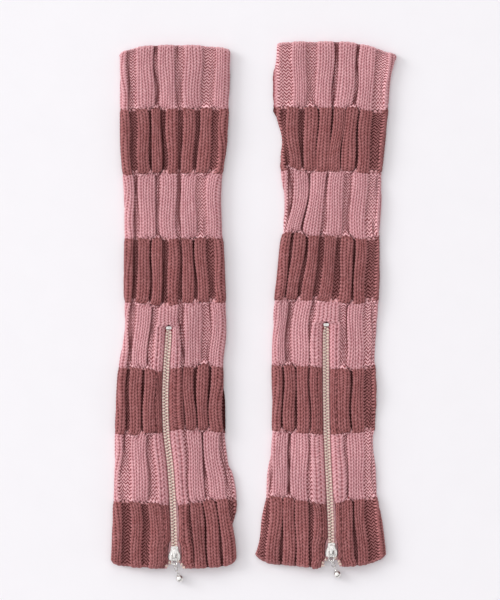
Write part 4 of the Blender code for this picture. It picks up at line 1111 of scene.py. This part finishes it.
def addSlider(warmer):
    # Cast in one piece: two plates held apart by a wedge, lips beside the tapes and a bridge for the pull
    right, overlap = list(slider["side"])[::-1], slider["overlap"]
    outline = softened(right + [(-x, y) for x, y in reversed(right)], 2)
    plate, slot = zipSizes["plate"], zipSizes["tapeThickness"] / 2 + zipSizes["clearance"]
    lowTop, high = sliderFloor + plate, sliderTopPlate + plate
    inLow, inTop = lowTop - overlap, sliderTopPlate + overlap
    shapes = [bevelledPrism(outline, *ends, 0.3) for ends in ((sliderFloor, lowTop), (sliderTopPlate, high))]
    shapes.append(bevelledPrism(softened(list(slider["wedge"]), 1), inLow, inTop, 0.05, 1))
    for flip in (1, -1):
        lip = [(flip * x, y) for x, y in slider["lip"]][::-flip]
        shapes.append(bevelledPrism(lip, inLow, sliderChainLevel - slot, 0.1, 1))
        shapes.append(bevelledPrism(lip, sliderChainLevel + slot, inTop, 0.1, 1))
    rim = [(x, y, high - 0.05) for x, y in insetOutline(outline, slider["rimInset"])]
    shapes.append(wireLoop(rim, (0, 0, 1), slider["rimWire"], 8))
    # The bridge's side view, over the pull's bar
    foot, rise, reach = high - overlap, bridgeUnder + slider["bridgeWire"], slider["bridgeHalf"]
    leg = slider["bridgeLeg"] - reach
    arch = [(-reach, foot), (leg, foot), (leg, bridgeUnder - 0.25), (leg + 0.3, bridgeUnder)]
    arch += [(-y, z) for y, z in reversed(arch)]
    arch += [(reach - inwards, rise - below) for inwards, below in slider["bridgeCorner"]]
    arch += [(inwards - reach, rise - below) for inwards, below in reversed(slider["bridgeCorner"])]
    half = slider["bridgeWidth"] / 2
    shapes.append(bevelledPrism(arch, -half, half, 0.28, 2, upright=True))
    points, faces = together(shapes)
    down = warmer["sliderDown"]
    placed = place(warmer, zipAcross(warmer, down) + points[:, 0], down - points[:, 1], points[:, 2])
    zipPiece(warmer, "slider_casting", "zip_slider", (placed, faces), platedZinc)


def addPull(warmer):
    # A long ring under the bridge, small links on edge and flat by turns, and a ball drop
    hinge = place(warmer, zipAcross(warmer, warmer["sliderDown"]), warmer["sliderDown"], pullLevel)

    def hung(name, node, shape, material, sharp=60.0):
        shape = shape[0] * mm + hinge, shape[1]
        zipPiece(warmer, name, f"pull_{node}", shape, material, f"{warmer['name']}_pull", sharp=sharp)

    wire, half, corner = slider["pullWire"], slider["ringHalf"], slider["ringCorner"]
    straight = slider["ringLength"] - half
    ring = [(half - corner + corner * math.sin(a), -corner + corner * math.cos(a), 0)
            for a in np.radians(np.arange(0, 91, 22.5))]
    ring += [(half * math.cos(a), -straight - half * math.sin(a), 0)
             for a in np.radians(np.arange(0, 91, 10))]
    ring += [(-x, y, z) for x, y, z in reversed(ring[:-1])]
    hung("ring_wire", "ring", wireLoop(ring, (0, 0, 1), wire, 12), platedSteel)

    dropAcross, dropDown = warmer["dropAt"]
    drop = Vector((dropAcross, -dropDown, slider["dropRadius"] + slider["dropAboveFloor"] - pullLevel))
    start = Vector((0, -slider["ringLength"] + 2 * wire, 0))
    run = (drop - start).normalized()
    flat = (Vector((0, 0, 1)) - run * run.z).normalized()
    linkHalf, linkWidth, linkWire = slider["linkHalf"], slider["linkWidth"], slider["linkWire"]
    play = slider["linkPlay"]
    first = start + run * (linkHalf - wire - play / 2)
    pitch = 2 * (linkHalf - linkWire) - play
    for number in range(slider["links"]):
        centre = first + run * pitch * number
        up = run.cross(flat) if number % 2 == 0 else flat
        across = run.cross(up)
        path = []
        for end in (1, -1):
            for a in np.radians(np.arange(0, 181, 15)):
                out, ahead = linkWidth * math.cos(a), linkHalf - linkWidth + linkWidth * math.sin(a)
                path.append(tuple(centre + end * (across * out + run * ahead)))
        hung(f"link_wire_{number + 1}", f"link_{number + 1}", wireLoop(path, up, linkWire, 8), platedSteel)

    eyeRadius, eyeWire, radius = slider["eyeRadius"], slider["eyeWire"], slider["dropRadius"]
    lastReach = pitch * (slider["links"] - 1) + linkHalf - linkWire
    eye = first + run * (lastReach + eyeRadius - eyeWire - play)
    centre = eye + run * (eyeRadius + radius - slider["eyeInDrop"])
    centre.z = drop.z
    side = run.cross(flat)
    path = [tuple(eye + eyeRadius * (run * math.cos(a) + side * math.sin(a)))
            for a in np.radians(np.arange(0, 360, 15))]
    shapes = [ball(centre, radius, 40, 20), wireLoop(path, run.cross(side), eyeWire, 8)]
    hung("ball_drop", "drop", together(shapes), platedZinc, 80.0)


for warmer in (leftWarmer, rightWarmer):
    for side, sideName in ((-1, "left"), (1, "right")):
        addTape(warmer, side, sideName)
        addTeeth(warmer, side, sideName)
    addStop(warmer)
    addSlider(warmer)
    addPull(warmer)
    print("closed the", warmer["name"], "zip")


# Floor, light and camera

stage = {
    "pixel": 0.77 * mm, "frameHeight": 600, "middle": (-2.63 * mm, 9.11 * mm), "level": 5 * mm,
    "distance": 1.9, "floor": 6.0,
    "brightSide": (-0.6, 0.3, 0.74), "world": (-0.8, 1.0, 1.17, 1.18),   # brighter towards that side
    "cards": ((0.75, 0.45, 0.42), (-0.25, -0.85, 0.5), (0.55, -0.45, 0.75)),
    # From how closely a direction points there, or how high, to how bright it is
    "card": (0.86, 0.97, 1.0, 0.12), "overhead": (0.985, 0.995, 1.0, 0.35),
    "horizon": (0.05, 0.35, 0.75, 1.0),
    "key": 118.0, "keyPlace": (-4.4, 1.9, 2.2), "keySize": 2.4,
}


def floorMaterial():
    # Matt painted board, sprayed: a very faint mottle keeps it from looking like a flat backdrop
    material, tree = newMaterial("mattPaintedBoard")
    mottle = noise(addNode(tree, "TexCoord", output="Object"), 25.0, 3.0)
    colour = blendColours(mottle, "F2F0F4", "F5F3F7")
    finishMaterial(tree, {"Base Color": colour, "Roughness": 0.9, "Specular IOR Level": 0.1})
    return material


floorMesh = bpy.data.meshes.new("floor")
half = stage["floor"]
corners = [(x * half, y * half, -0.1 * mm) for x, y in ((-1, -1), (1, -1), (1, 1), (-1, 1))]
floorMesh.from_pydata(corners, [], [(0, 1, 2, 3)])
floorMesh.materials.append(floorMaterial())
addObject("floor", floorMesh)

world = bpy.data.worlds.new("studio")
bpy.context.scene.world = world
world.use_nodes = True
tree = world.node_tree
tree.nodes.clear()
direction = addNode(tree, "TexCoord", output="Generated")


def towards(side):
    # How closely each direction points to one side: 1 straight at it
    side = Vector(side).normalized()
    return addNode(tree, "VectorMath", {0: direction, 1: side}, 1, operation="DOT_PRODUCT")


glow = between(towards(stage["brightSide"]), *stage["world"])
# Dark cards, a dimmer horizon and the dark around the camera, for the metal to mirror
for side in stage["cards"]:
    glow = calc("MULTIPLY", glow, between(towards(side), *stage["card"]))
level = addNode(tree, "SeparateXYZ", {0: direction}, 2)
overhead = between(level, *stage["overhead"])
horizon = between(level, *stage["horizon"])
glow = calc("MULTIPLY", calc("MULTIPLY", glow, horizon), overhead)
background = addNode(tree, "Background", {"Color": linear("FFFEFE"), "Strength": glow})
addNode(tree, "OutputWorld", {"Surface": background})


softbox = bpy.data.lights.new("softbox", "AREA")
softbox.shape, softbox.size, softbox.energy = "DISK", stage["keySize"], stage["key"]
light = addObject("softbox", softbox)
light.location = stage["keyPlace"]
light.rotation_euler = (-Vector(stage["keyPlace"])).to_track_quat("-Z", "Y").to_euler()

cameraData = bpy.data.cameras.new("camera")
cameraData.sensor_width = 36.0
cameraData.lens = cameraData.sensor_width * stage["distance"] / (stage["frameHeight"] * stage["pixel"])
cameraData.clip_start, cameraData.clip_end = 0.05, 20.0
camera = addObject("camera", cameraData)
camera.location = (*stage["middle"], stage["distance"] + stage["level"])
bpy.context.scene.camera = camera
bpy.context.scene.view_settings.view_transform = "Standard"
print("stage set")
